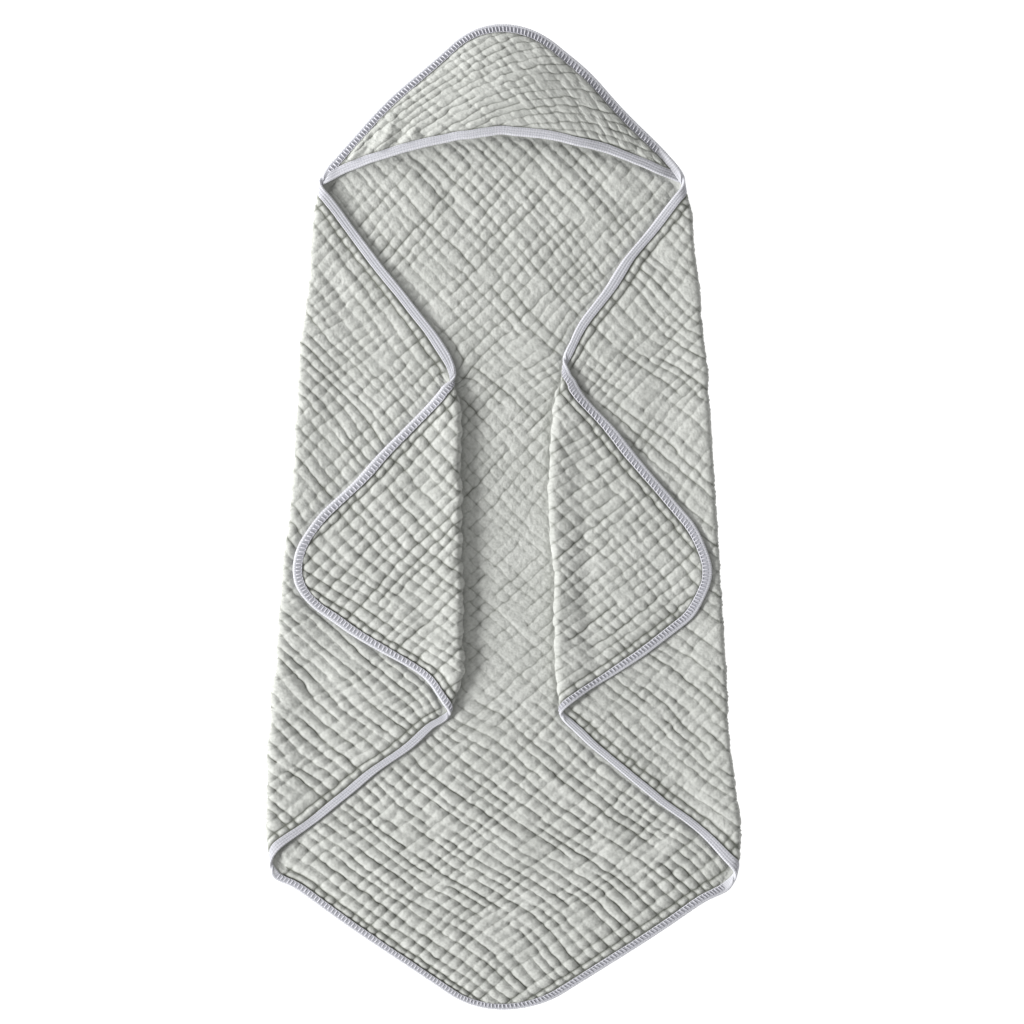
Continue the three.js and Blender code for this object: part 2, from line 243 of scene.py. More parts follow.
class Nodes:
    """Short calls for building one material's node tree."""

    def __init__(self, name: str) -> None:
        """Starts an empty material.

        Args:
            name: The material's name.
        """
        self.material = bpy.data.materials.new(name)
        self.material.use_nodes = True
        self.tree = self.material.node_tree
        self.tree.nodes.clear()
        self.shader = self.tree.nodes.new("ShaderNodeBsdfPrincipled")
        output = self.tree.nodes.new("ShaderNodeOutputMaterial")
        self.tree.links.new(self.shader.outputs["BSDF"], output.inputs["Surface"])

    def add(self, kind: str, settings: dict | None = None, inputs: dict | None = None) -> bpy.types.Node:
        """Adds a node.

        Args:
            kind: The node type's name after ShaderNode.
            settings: Properties to set on the node.
            inputs: Values or outputs for its input sockets, by name or number.

        Returns:
            The new node.
        """
        node = self.tree.nodes.new("ShaderNode" + kind)
        for key, value in (settings or {}).items():
            setattr(node, key, value)
        for key, value in (inputs or {}).items():
            self.feed(node.inputs[key], value)
        return node

    def feed(self, socket: Socket, value: object) -> None:
        """Links an output to a socket, or sets the socket's own value.

        Args:
            socket: The input socket.
            value: The output or value.
        """
        if isinstance(value, Socket):
            self.tree.links.new(value, socket)
        else:
            socket.default_value = value

    def math(self, operation: str, first: object, second: object = 0.0) -> Socket:
        """The result of a Math node."""
        return self.add("Math", {"operation": operation}, {0: first, 1: second}).outputs[0]

    def attribute(self, name: str) -> Socket:
        """A value kept on the mesh's points."""
        return self.add("Attribute", {"attribute_name": name}).outputs["Fac"]

    def cut_place(self) -> Socket:
        """Where a point is on the flat cloth, in metres."""
        return self.add("UVMap", {"uv_map": "cut"}).outputs["UV"]

    def noise(self, vector: Socket, scale: float, detail: float = 2.0) -> Socket:
        """A noise texture's value, 0 to 1."""
        inputs = {"Vector": vector, "Scale": scale, "Detail": detail}
        return self.add("TexNoise", None, inputs).outputs["Fac"]

    def ribs(self, vector: Socket, pitch: float, direction: str, distort: float) -> Socket:
        """Parallel ribs.

        Args:
            vector: Places, in metres.
            pitch: From one rib to the next, in metres.
            direction: The axis that they follow one another along, X, Y or DIAGONAL.
            distort: How unevenly they run.

        Returns:
            A value from 0 to 1.
        """
        wave_period = 2.0 * math.pi / 20.0    # of the Wave texture at scale 1
        inputs = {"Vector": vector, "Scale": wave_period / pitch, "Distortion": distort,
                  "Detail": 1.0, "Detail Scale": 1.5}
        return self.add("TexWave", {"bands_direction": direction}, inputs).outputs["Fac"]

    def mix(self, part: object, first: object, second: object) -> Socket:
        """Mixes two colours.

        Args:
            part: Share of the second one.
            first: A colour.
            second: Another one.

        Returns:
            The mixed colour.
        """
        node = self.add("Mix", {"data_type": "RGBA"})
        self.feed(node.inputs["Factor"], part)
        for name, value in (("A", first), ("B", second)):
            self.feed(next(s for s in node.inputs if s.name == name and s.type == "RGBA"), value)
        return next(s for s in node.outputs if s.type == "RGBA")

    def span(self, value: object, low: float, high: float, first: float, last: float) -> Socket:
        """A value carried from the span low to high to the span first to last, and kept inside it."""
        inputs = {"Value": value, "From Min": low, "From Max": high, "To Min": first, "To Max": last}
        return self.add("MapRange", None, inputs).outputs["Result"]

    def bump(self, height: object, strength: float, distance: float, after: Socket | None = None) -> Socket:
        """Bends the normal by a height.

        Args:
            height: The height, as a share of the distance.
            strength: How strongly it bends the normal.
            distance: The full height, in metres.
            after: Another bump that it comes on top of.

        Returns:
            The bent normal.
        """
        node = self.add("Bump", None, {"Height": height, "Strength": strength, "Distance": distance})
        if after is not None:
            self.feed(node.inputs["Normal"], after)
        return node.outputs["Normal"]

    def finish(self, color: object, roughness: object, normal: object, constants: dict) -> bpy.types.Material:
        """Feeds the shader.

        Args:
            color: The base colour.
            roughness: The roughness.
            normal: The bent normal.
            constants: Numbers and colours for the shader's own sockets, by name.

        Returns:
            The finished material.
        """
        self.feed(self.shader.inputs["Base Color"], color)
        self.feed(self.shader.inputs["Roughness"], roughness)
        self.feed(self.shader.inputs["Normal"], normal)
        for key, value in constants.items():
            self.shader.inputs[key].default_value = value
        return self.material


def rgba(color: tuple) -> tuple:
    """A colour with its alpha."""
    return (*color, 1.0)


@dataclass(frozen=True)
class MuslinFinish:
    """Washed cotton gauze, with painted shade down in its creases and the open weave as bump."""

    name: str = "sage_muslin"
    color: tuple = (0.560, 0.571, 0.541)
    pale: tuple = (0.632, 0.642, 0.612)
    # Painted shade colour for the creases, also used for the slubs' grain and the gaps of the weave.
    crease: tuple = (0.128, 0.134, 0.112)
    thread_pitch: float = 0.00075
    sheen: float = 0.22

    def material(self) -> bpy.types.Material:
        """Builds the material."""
        n = Nodes(self.name)
        place = n.cut_place()
        patches = n.noise(place, 22.0, 3.0)
        fluff = n.noise(place, 420.0, 3.0)
        slubs = n.noise(place, 330.0, 4.0)
        body = n.mix(n.span(patches, 0.35, 0.68, 0.0, 1.0), rgba(self.color), rgba(self.pale))
        body = n.mix(n.span(slubs, 0.36, 0.58, 0.20, 0.0), body, rgba(self.crease))
        # Painted shade: the deeper in a crease a point is, the nearer its colour comes to the crease colour.
        hollow = n.math("POWER", n.attribute("hollow"), 2.0)
        color = n.mix(n.span(hollow, 0.22, 0.95, 0.0, 0.94), body, rgba(self.crease))
        warp = n.ribs(place, self.thread_pitch, "X", 0.6)
        weft = n.ribs(place, self.thread_pitch * 1.15, "Y", 0.6)
        weave = n.math("MULTIPLY", warp, weft)
        color = n.mix(n.span(weave, 0.0, 0.5, 0.16, 0.0), color, rgba(self.crease))
        crinkle = n.bump(n.noise(place, 260.0, 4.0), 0.65, 0.0018)
        normal = n.bump(n.math("ADD", weave, n.math("MULTIPLY", fluff, 0.5)), 0.35, 0.00025, crinkle)
        roughness = n.span(fluff, 0.2, 0.8, 0.84, 0.97)
        constants = {"Sheen Weight": self.sheen, "Sheen Roughness": 0.55, "Specular IOR Level": 0.2}
        return n.finish(color, roughness, normal, constants)


@dataclass(frozen=True)
class TapeFinish:
    """Soft knit tape with fine courses across it, with painted shade where stitches pull it down."""

    name: str = "pale_knit_tape"
    color: tuple = (0.800, 0.800, 0.840)
    # A darker tone for the knit's clouds, loops and ribs, and the colour of the painted shade under the
    # stitches.
    dull_and_shade: tuple = (0.370, 0.375, 0.415)
    course_pitch: float = 0.0011
    rib_pitch: float = 0.0024
    sheen: float = 0.15

    def material(self) -> bpy.types.Material:
        """Builds the material."""
        n = Nodes(self.name)
        place = n.cut_place()
        cloudy = n.noise(place, 90.0, 3.0)
        courses = n.ribs(place, self.course_pitch, "X", 0.9)
        wales = n.ribs(place, self.course_pitch * 0.9, "Y", 0.9)
        knit = n.math("MULTIPLY", courses, wales)
        painted_stitch_shade = n.attribute("painted_stitch_shade")
        body = n.mix(n.span(cloudy, 0.3, 0.75, 0.0, 0.22), rgba(self.color), rgba(self.dull_and_shade))
        body = n.mix(n.span(knit, 0.0, 0.6, 0.22, 0.0), body, rgba(self.dull_and_shade))
        ribs = n.math("MULTIPLY", n.ribs(place, self.rib_pitch, "X", 2.5), n.noise(place, 260.0, 2.0))
        body = n.mix(n.span(ribs, 0.08, 0.45, 0.40, 0.0), body, rgba(self.dull_and_shade))
        # Painted shade under the ladder and in the needle grooves, where the stitches pull the knit down.
        color = n.mix(painted_stitch_shade, body, rgba(self.dull_and_shade))
        normal = n.bump(knit, 0.6, 0.0003)
        constants = {"Sheen Weight": self.sheen, "Sheen Roughness": 0.5, "Specular IOR Level": 0.3}
        return n.finish(color, n.span(cloudy, 0.2, 0.8, 0.72, 0.9), normal, constants)


@dataclass(frozen=True)
class ThreadFinish:
    """Spun sewing thread with its twist as bump."""

    name: str = "pale_thread"
    color: tuple = (0.690, 0.685, 0.735)
    shade: tuple = (0.440, 0.437, 0.480)
    twist_pitch: float = 0.0007

    def material(self) -> bpy.types.Material:
        """Builds the material."""
        n = Nodes(self.name)
        place = n.cut_place()
        twist = n.ribs(place, self.twist_pitch, "DIAGONAL", 0.3)
        color = n.mix(n.span(twist, 0.0, 1.0, 0.35, 0.0), rgba(self.color), rgba(self.shade))
        normal = n.bump(twist, 0.6, 0.0002)
        constants = {"Sheen Weight": 0.1, "Sheen Roughness": 0.4, "Specular IOR Level": 0.4}
        return n.finish(color, n.span(twist, 0.0, 1.0, 0.72, 0.6), normal, constants)


@dataclass(frozen=True)
class FloorFinish:
    """A plain white light table."""

    name: str = "white_floor"
    color: tuple = (0.90, 0.90, 0.90)
    glow: float = 0.7

    def material(self) -> bpy.types.Material:
        """Builds the material."""
        n = Nodes(self.name)
        place = n.add("TexCoord").outputs["Object"]
        grain = n.noise(place, 40.0, 2.0)
        normal = n.bump(grain, 0.05, 0.0005)
        constants = {"Emission Color": rgba((1.0, 1.0, 1.0)), "Emission Strength": self.glow}
        return n.finish(rgba(self.color), n.span(grain, 0.0, 1.0, 0.85, 0.95), normal, constants)


# ---- How the cut square lies ----

CUT_SIDE = 800.0
CUT_HALF = CUT_SIDE / 2
CORNER_RADIUS = 80.0
HALF_DIAGONAL = CUT_SIDE / math.sqrt(2.0)
TAPE_REACH = 9.4      # how far the tape reaches in from the edge
TAPE_HALF = 2.0       # half its thickness over the cloth's edge
CLOTH_INSET = 1.1     # how far inside the tape the cloth ends
FOLD_REACH = 2.9      # how far the middle of the cloth swings out round a fold
FOLD_RISE = 3.7       # half the height of a fold
SLACK_LENGTH = 24.0   # length over which the ends of a fold loosen
SPREAD_LENGTH = 27.0  # distance from a fold over which its layers' edges draw apart at its foot
SPREAD_HEIGHT = 32.0  # and the same up the fold
BUMP_PITCH = 10.0     # size of the puffs that push a fold in and out
BUMP_REACH = 8.0      # how far from the fold they do
SLACK_INWARD = 0.6    # share of the slack by which the fold's line stands further in
RIPPLE = 1.3          # sideways unevenness of a fold
CLOTH_MIDDLE = 0.9    # middle of the bottom layer over the floor
LAYER_PITCH = 4.1     # between two layers, away from their fold
SETTLE = 46.0         # distance from a fold in which its layers close up
EDGE_LIFT = 1.1       # rise of the bottom layer onto the tape below it
UPPER_EDGE_LIFT = 2.5    # rise of a folded-in side where its edge curls off the layer below
TOP_EDGE_SHARE = 0.45    # share of that on the corners on top
HOOD_RISE = 2.1       # how much higher the tape stands where it also takes the hood
NARROWING = (0.22, 0.25)        # shares by which it shows narrower at the lower left and right
NARROW_START = (228.0, 262.0)   # how far out across the cut this begins
NARROW_END = (420.0, 470.0)     # and ends
WAVES = ((0.7, 47.0, 11), (0.35, 23.0, 12))   # height, size and seed of the cloth's soft unevenness


@dataclass(frozen=True)
class LayRow:
    """At one part of the half diagonal, the level it lies at and how far each half spreads."""

    cut: float
    level: float
    left: float
    right: float


LAY = (
    LayRow(-1.0, -539, 0.96, 1.10),
    LayRow(-2 / 3, -395, 1.13, 1.18),
    LayRow(-1 / 3, -203, 1.12, 1.10),
    LayRow(0.0, -32, 1.08, 1.06),
    LayRow(1 / 3, 166, 0.98, 1.02),
    LayRow(2 / 3, 360, 0.97, 1.01),
    LayRow(1.0, 547, 0.94, 1.01),
)


@dataclass(frozen=True)
class FoldLine:
    """The line x = at + lean * y, along which the cloth turns over, more loosely at its ends."""

    at: float
    lean: float
    foot: float          # level of its lower end
    head: float          # and of its upper one
    foot_slack: float    # extra reach of the turn there
    head_slack: float
    foot_spread: float = 0.0    # how far each layer's edge is drawn along the line at the lower end
    bumps: float = 0.7          # sideways unevenness from puff to puff

    def past(self, x: Array, y: Array, travel: int) -> Array:
        """Distance beyond the line.

        Args:
            x, y: Places before this fold.
            travel: The way the cloth comes to it, -1 or 1.

        Returns:
            Distances, negative before the line.
        """
        ripple = RIPPLE * soft_noise(y, y * 0.0 + self.at, 31.0, 17)
        inward = SLACK_INWARD * self.slack(y)
        return travel * (x - self.at - self.lean * y - ripple) / math.hypot(1.0, self.lean) + inward

    def moved(self, x: Array, y: Array, travel: int, distance: Array) -> tuple:
        """A point carried squarely away from the line."""
        step = travel * distance / math.hypot(1.0, self.lean)
        return x + step, y - step * self.lean

    def bumped(self, x: Array, y: Array, travel: int, distance: Array) -> tuple:
        """A point near the fold pushed in or out with its puff."""
        near = np.exp(-((distance / BUMP_REACH) ** 2))
        return self.moved(x, y, travel, self.bumps * soft_noise(y, y * 0.0 + self.at, BUMP_PITCH, 19) * near)

    def spread(self, y: Array, turn: Array, distance: Array) -> Array:
        """How far a point is drawn up the line, from its turn round the fold and distance from it."""
        near = np.exp(-(((y - self.foot) / SPREAD_HEIGHT) ** 2) - (distance / SPREAD_LENGTH) ** 2)
        return -self.foot_spread * np.cos(turn) * near

    def slack(self, y: Array) -> Array:
        """How much wider than elsewhere the fold turns at a level."""
        near_foot, near_head = (np.exp(-(((y - end) / SLACK_LENGTH) ** 2)) for end in (self.foot, self.head))
        return self.foot_slack * near_foot + self.head_slack * near_head

    def reach(self, y: Array) -> Array:
        """How far the middle of the cloth swings out round the fold at a level."""
        return FOLD_REACH + self.slack(y)


@dataclass(frozen=True)
class FoldedSide:
    """One folded side: its two folds and how far its cut corner is drawn up."""

    sign: int
    spread: str
    corner: float
    outer: FoldLine
    inner: FoldLine


SIDES = (
    FoldedSide(-1, "left", 51, FoldLine(-220, 0.080, -357, 353, 13.0, 6.0, 4.5),
               FoldLine(-43, -0.014, -201, 148, 10.0, 9.0, bumps=2.2)),
    FoldedSide(1, "right", 25, FoldLine(222, -0.079, -378, 354, 13.0, 8.0, 3.0),
               FoldLine(55, -0.009, -198, 151, 8.0, 7.0, bumps=1.8)),
)


@dataclass(frozen=True)
class Ease:
    """A place where all layers are drawn a little to one side."""

    place: str
    x: float
    y: float
    move_x: float
    move_y: float
    reach: float


EASES = (
    Ease("foot of the left outer fold", -251, -357, 0, -8, 30),
    Ease("foot of the right outer fold", 251, -367, -3, -11, 34),
    Ease("foot of the left inner fold", -41, -196, -9, -8, 32),
    Ease("head of the right inner fold", 51, 169, 9, -5, 30),
    Ease("middle of the right inner fold", 51, 33, -6, 0, 55),
    Ease("left hood corner", -193, 351, -1, -3, 25),
    Ease("right hood corner", 193, 356, -1, -4, 25),
    Ease("left hood edge", -117, 429, -5, 4, 62),
    Ease("right hood edge", 92, 466, 3, 3, 40),
    Ease("left outer fold, above", -205, 170, -3, 0, 85),
    Ease("right outer fold, above", 212, 137, 3, 0, 70),
    Ease("left outer fold, below", -240, -205, -4, 0, 70),
    Ease("right outer fold, below", 238, -205, -4, 0, 85),
    Ease("left side corner", -212, -47, -4, -4, 60),
    Ease("head of the left inner fold", -46, 155, -1, -10, 15),
)


@dataclass
class Laid:
    """Folded points: the middle of the cloth, the way its front faces, and how it lies there."""

    at: Array
    front: Array
    turn: Array    # 0 on the bottom layer, 1 past the outer fold
    back: Array    # 0 before the inner fold, 1 on the corner that lies on top


class TowelLay:
    """Carries points of the cut square to where they lie on the folded towel."""

    def __init__(self) -> None:
        """Finds the shift that brings the folded towel to the frame's place."""
        self.shift = np.zeros(2)
        path = EdgePath(2.0)
        reach = [self.place(*path.inside(d), d).at for d in (0.0, TAPE_REACH)]
        points = np.concatenate(reach)
        low, high = (np.array(corner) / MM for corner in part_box("edge_binding"))
        self.shift = (points.min(0) + points.max(0))[:2] / 2 - (low + high)[:2] / 2

    @staticmethod
    def lay_value(column: str, cut: Array) -> Array:
        """Smooth curve through one column of LAY.

        Args:
            column: The column's name.
            cut: Places along the diagonal, from -1 to 1.

        Returns:
            The curve's values there.
        """
        values = np.array([getattr(row, column) for row in LAY], float)
        place = (cut + 1.0) / 2.0 * (len(values) - 1)
        row = np.clip(np.floor(place).astype(int), 0, len(values) - 2)
        t = place - row
        b, c = values[row], values[row + 1]
        a = np.where(row > 0, values[np.maximum(row - 1, 0)], 2 * b - c)
        d = np.where(row + 2 < len(values), values[np.minimum(row + 2, len(values) - 1)], 2 * c - b)
        square, cube = 2 * a - 5 * b + 4 * c - d, 3 * b - a - 3 * c + d
        return b + 0.5 * ((c - a) * t + square * t**2 + cube * t**3)

    def lay(self, u: Array, v: Array) -> tuple:
        """Lays points of the flat square down, before it is folded.

        Args:
            u, v: Places on the cut.

        Returns:
            Their two places on the plan.
        """
        across, along = diagonals(u, v)
        cut = along / HALF_DIAGONAL
        left, right = SIDES
        spread = np.where(across < 0, self.lay_value(left.spread, cut), self.lay_value(right.spread, cut))
        corner = np.where(across < 0, left.corner, right.corner)
        return across * spread, self.lay_value("level", cut) + corner * (across / HALF_DIAGONAL) ** 2

    @staticmethod
    def layer_step(distance: Array) -> Array:
        """Rise from one layer to the next at a distance from the fold between them."""
        return lerp(2 * FOLD_RISE, LAYER_PITCH, smoothstep(0.0, SETTLE, distance))

    @staticmethod
    def bend_normal(outward: tuple, turn: Array, reach: Array) -> Array:
        """The way the inside of a bend faces, part of the way round it."""
        flat = FOLD_RISE * np.sin(turn)
        return unit(np.stack([-outward[0] * flat, -outward[1] * flat, reach * np.cos(turn)], -1))

    @staticmethod
    def turn_over(fold: FoldLine, x: Array, y: Array, travel: int, past: Array) -> tuple:
        """Carries points round one fold.

        Args:
            fold: The fold.
            x, y: Places before it.
            travel: The way the cloth comes to it, -1 or 1.
            past: Distances past the start of its bend.

        Returns:
            The new places, the angles turned and the distances past the bend's end.
        """
        reach = fold.reach(y)
        turn, over = np.clip(past / reach, 0, math.pi), np.maximum(past - math.pi * reach, 0)
        x, y = fold.moved(x, y, travel, reach * np.sin(turn) - over - np.maximum(past, 0))
        return x, y, turn, over

    def fold_side(self, side: FoldedSide, x: Array, y: Array, lift: tuple) -> Laid:
        """Carries laid points round the two folds of one side.

        Args:
            side: The side to fold.
            x, y: Laid places.
            lift: Rise of the points on the bottom layer, and of those on the layers above it.

        Returns:
            The folded points, before they settle.
        """
        outer, inner, travel = side.outer, side.inner, side.sign
        reach = outer.reach(y)
        past = outer.past(x, y, travel) + reach
        x, y, turn, over = self.turn_over(outer, x, y, travel, past)
        y = y + outer.spread(y, turn, np.maximum(-past, over))
        x, y = outer.bumped(x, y, travel, np.maximum(-past, over))
        reach2 = inner.reach(y)
        past2 = np.where(over > 0, inner.past(x, y, -travel) + reach2, -1.0)
        x, y, turn2, over2 = self.turn_over(inner, x, y, -travel, past2)
        distance = np.where(over > 0, np.maximum(-inner.past(x, y, -travel) - reach2, over2), 1e3)
        x, y = inner.bumped(x, y, -travel, np.where(turn2 > 0, over2, distance))
        inward = np.where(over > 0, np.maximum(-outer.past(x, y, travel) - reach, 0), 0)
        z = CLOTH_MIDDLE + FOLD_RISE * (1 - np.cos(turn)) + self.layer_step(inward) - 2 * FOLD_RISE
        z = z + FOLD_RISE * (1 - np.cos(turn2))
        z = z + np.where(over2 > 0, self.layer_step(over2) - 2 * FOLD_RISE, 0)
        z = z + lerp(*lift, turn / math.pi) * lerp(1.0, TOP_EDGE_SHARE, turn2 / math.pi)
        first, second = outer.moved(0, 0, travel, 1.0), inner.moved(0, 0, -travel, 1.0)
        front = np.where((over > 0)[..., None], -self.bend_normal(second, turn2, reach2),
                         self.bend_normal(first, turn, reach))
        return Laid(np.stack([x, y, z], -1), front, turn / math.pi, turn2 / math.pi)

    def settled(self, at: Array) -> Array:
        """Draws folded points to their places by the eases.

        Args:
            at: Folded points, before the plan is centred.

        Returns:
            The points in the frame's place.
        """
        x, y = at[..., 0].copy(), at[..., 1].copy()
        moved_x, moved_y = x.copy(), y.copy()
        for ease in EASES:
            share = np.exp(-((x - ease.x) ** 2 + (y - ease.y) ** 2) / ease.reach**2)
            moved_x += share * ease.move_x
            moved_y += share * ease.move_y
        return np.stack([moved_x - self.shift[0], moved_y - self.shift[1], at[..., 2]], -1)

    def place(self, u: Array, v: Array, inset: Array | None = None) -> Laid:
        """Lays, folds and settles points of the cut.

        Args:
            u, v: Places on the cut.
            inset: Distances in from the cut edge, if they are known.

        Returns:
            The points in the frame, still in millimetres.
        """
        inset = inset_of(u, v) if inset is None else inset
        x, y = self.lay(u, v)
        inset = np.broadcast_to(np.asarray(inset, float), x.shape)
        lift = (EDGE_LIFT * (1.0 - smoothstep(TAPE_REACH + 0.4, TAPE_REACH + 6.0, inset)),
                UPPER_EDGE_LIFT * (1.0 - smoothstep(TAPE_REACH - 2.0, TAPE_REACH + 18.0, inset)))
        left, right = (self.fold_side(side, x, y, lift) for side in SIDES)
        is_left = x < 0
        at = np.where(is_left[..., None], left.at, right.at)
        front = np.where(is_left[..., None], left.front, right.front)
        turn, back = np.where(is_left, left.turn, right.turn), np.where(is_left, left.back, right.back)
        return Laid(self.settled(at), front, turn, back)

    def wave(self, x: Array, y: Array) -> Array:
        """How far the cloth stands off what is below it, in soft patches."""
        return sum(height * (1.0 + soft_noise(x, y, size, seed)) for height, size, seed in WAVES)

    def uncentred(self, x: Array, y: Array) -> tuple:
        """Places in the frame as places before the plan is centred."""
        return x + self.shift[0], y + self.shift[1]


def inset_of(u: Array, v: Array) -> Array:
    """How far points are in from the rounded cut edge.

    Args:
        u, v: Places on the cut.

    Returns:
        Distances, negative outside the edge.
    """
    side_u, side_v = CUT_HALF - np.abs(u), CUT_HALF - np.abs(v)
    in_corner = (side_u < CORNER_RADIUS) & (side_v < CORNER_RADIUS)
    round_inset = CORNER_RADIUS - np.hypot(CORNER_RADIUS - side_u, CORNER_RADIUS - side_v)
    return np.where(in_corner, round_inset, np.minimum(side_u, side_v))


def tape_width(u: Array, v: Array) -> Array:
    """How wide the tape shows, which is less on the lower edges of the folded sides.

    Args:
        u, v: Places on the cut.

    Returns:
        Shares of its full width.
    """
    across = np.abs(u - v) / math.sqrt(2.0)
    there = smoothstep(*NARROW_START, across) * (1.0 - smoothstep(*NARROW_END, across))
    return 1.0 - np.where(u + v < 0, lerp(*NARROWING, smoothstep(-50.0, 50.0, u - v)), 0.0) * there


class EdgePath:
    """The rounded edge of the cut square, anticlockwise, in even steps."""

    def __init__(self, step: float) -> None:
        """Steps round four straight sides and four quarter circles.

        Args:
            step: From one point to the next.
        """
        centre = CUT_HALF - CORNER_RADIUS
        straight = np.arange(0.0, 2 * centre, step) - centre
        angles = np.arange(0.0, math.pi / 2, step / CORNER_RADIUS)
        side = np.stack([np.full(len(straight), CUT_HALF), straight], -1)
        turned = np.stack([np.cos(angles), np.sin(angles)], -1)
        px, py = np.concatenate([side, centre + CORNER_RADIUS * turned]).T
        nx, ny = np.concatenate([np.tile([1.0, 0.0], (len(straight), 1)), turned]).T
        u, v, out_u, out_v = [], [], [], []
        for c, s in ((1, 0), (0, 1), (-1, 0), (0, -1)):
            u.append(c * px - s * py)
            v.append(s * px + c * py)
            out_u.append(c * nx - s * ny)
            out_v.append(s * nx + c * ny)
        self.u, self.v = np.concatenate(u), np.concatenate(v)
        self.out_u, self.out_v = np.concatenate(out_u), np.concatenate(out_v)
        steps = np.hypot(np.roll(self.u, -1) - self.u, np.roll(self.v, -1) - self.v)
        self.length = float(steps.sum())
        self.run = np.concatenate([[0.0], np.cumsum(steps)[:-1]])

    def inside(self, inset: Array) -> tuple:
        """The path's points moved in from the edge."""
        return self.u - self.out_u * inset, self.v - self.out_v * inset

    def at(self, run: Array, inset: Array) -> tuple:
        """Points by their places along the edge.

        Args:
            run: Distances along it, which go on round.
            inset: Distances in from it.

        Returns:
            Their u and v.
        """
        place = np.mod(run, self.length)
        runs = np.append(self.run, self.length)
        columns = [np.append(c, c[0]) for c in (self.u, self.v, self.out_u, self.out_v)]
        u, v, out_u, out_v = (np.interp(place, runs, column) for column in columns)
        return u - out_u * inset, v - out_v * inset


# ---- The crinkle ----

PUFF_STEPS = np.array([0.0, 0.13, 0.37, 0.63, 0.87])   # where the mesh stands across one puff
SPLITS = len(PUFF_STEPS)


@dataclass(frozen=True)
class CreaseFamily:
    """Nearly parallel creases across a cloth, and how they wander and fade."""

    seed: int
    low: float                 # where the cloth begins across the creases
    high: float                # and where it ends
    pitch: float = 10.9
    unevenness: float = 0.18   # of the steps from line to line, as a share
    rims: tuple = (9.2, 16.5)  # insets of the lines that run along the edge
    shared_wander: float = 5.0
    own_wander: float = 1.0
    brick: float = 1.8         # sideways step of a line from one puff to the next
    scallop: float = 1.1       # how far a line bulges between two crossings
    fade: float = 0.07         # share of a line that fades
    fade_length: float = 42.0
    streak: float = 0.22       # how unlike its neighbours' the depth of a long stretch may be
    streak_length: float = 130.0

    def positions(self) -> Array:
        """Where the lines stand: edge, rims, then uneven steps in between, and the same back."""
        rng = np.random.default_rng(self.seed)
        rims = np.array(self.rims, float)
        first, last = self.low + rims.max(initial=0.0), self.high - rims.max(initial=0.0)
        count = int(round((last - first) / self.pitch))
        steps = 1.0 + self.unevenness * rng.uniform(-1, 1, count)
        inner = first + np.concatenate([[0.0], np.cumsum(steps)]) * (last - first) / steps.sum()
        low, high = self.low + rims[:-1], (self.high - rims[:-1])[::-1]
        return np.concatenate([[self.low], low, inner, high, [self.high]])

    def lines(self, positions: Array, run: Array) -> Array:
        """How each line wanders.

        Args:
            positions: Where the lines stand.
            run: Places along them.

        Returns:
            Where each line is: one row a line, one column a place along it.
        """
        along, across = run[None, :], positions[:, None]
        own = np.arange(len(positions))[:, None]
        wander = self.shared_wander * soft_noise(across, along, 100.0, self.seed + 1)
        wander = wander + self.own_wander * soft_noise(own * 31.0, along, 31.0, self.seed + 2)
        return across + wander * self.free(across, 8.0, 60.0)

    def free(self, positions: Array, tied: float, loose: float) -> Array:
        """How free lines are to stand out of line, 0 up to tied from an edge with rims, 1 from loose on."""
        margin = np.minimum(positions - self.low, self.high - positions)
        return smoothstep(tied, loose, margin) if len(self.rims) else np.ones_like(margin)

    def offsets(self, positions: Array, cell: Array, part: Array, weak: Array) -> Array:
        """Sideways steps of each line from one cell to the next, larger where the line is weak.

        Args:
            positions: Where the lines stand.
            cell: The cell of each place along them.
            part: How far over its cell each place is.
            weak: How weak each line is at each place.

        Returns:
            Steps, one row a line.
        """
        rng = np.random.default_rng(self.seed + 3)
        table = rng.uniform(-1, 1, (2, len(positions), cell.max() + 1))
        here, before = table[0][:, cell], table[0][:, np.maximum(cell - 1, 0)]
        step = np.where(part == 0.0, (here + before) / 2, here)
        bulge = table[1][:, cell] * 4.0 * part * (1.0 - part)
        free = self.free(positions[:, None], 2.0, 20.0)
        return (self.brick * (0.10 + weak) * step + self.scallop * bulge) * free

    def depth(self, positions: Array, run: Array, cell: Array, weak: Array) -> Array:
        """How deep each line is along its run.

        Args:
            positions: Where the lines stand.
            run: Places along them.
            cell: The cell of each place.
            weak: How weak each line is at each place.

        Returns:
            Depths, 1 for a full crease, one row a line.
        """
        own = np.arange(len(positions))[:, None]
        slow = soft_noise(own * self.fade_length, run[None, :], self.fade_length, self.seed + 4)
        level = 2 * self.fade * (0.4 + 4.0 * weak) - 1.0
        there = smoothstep(level - 0.2, level + 0.3, slow * 1.25)
        table = np.random.default_rng(self.seed + 5).uniform(0, 1, (len(positions), cell.max() + 1))
        here = table[:, cell]
        depth = (0.2 + 0.8 * there) * np.where(here < 0.02 + 0.24 * weak, 0.45, 0.82 + 0.18 * here)
        stretch = soft_noise(own * self.streak_length, run[None, :], self.streak_length, self.seed + 6)
        depth = depth * (1.0 - self.streak * (0.5 + stretch))
        if self.rims:
            near = len(self.rims) + 1
            depth[:near], depth[-near:] = 1.0, 1.0
        return np.clip(depth, 0.0, 1.15)


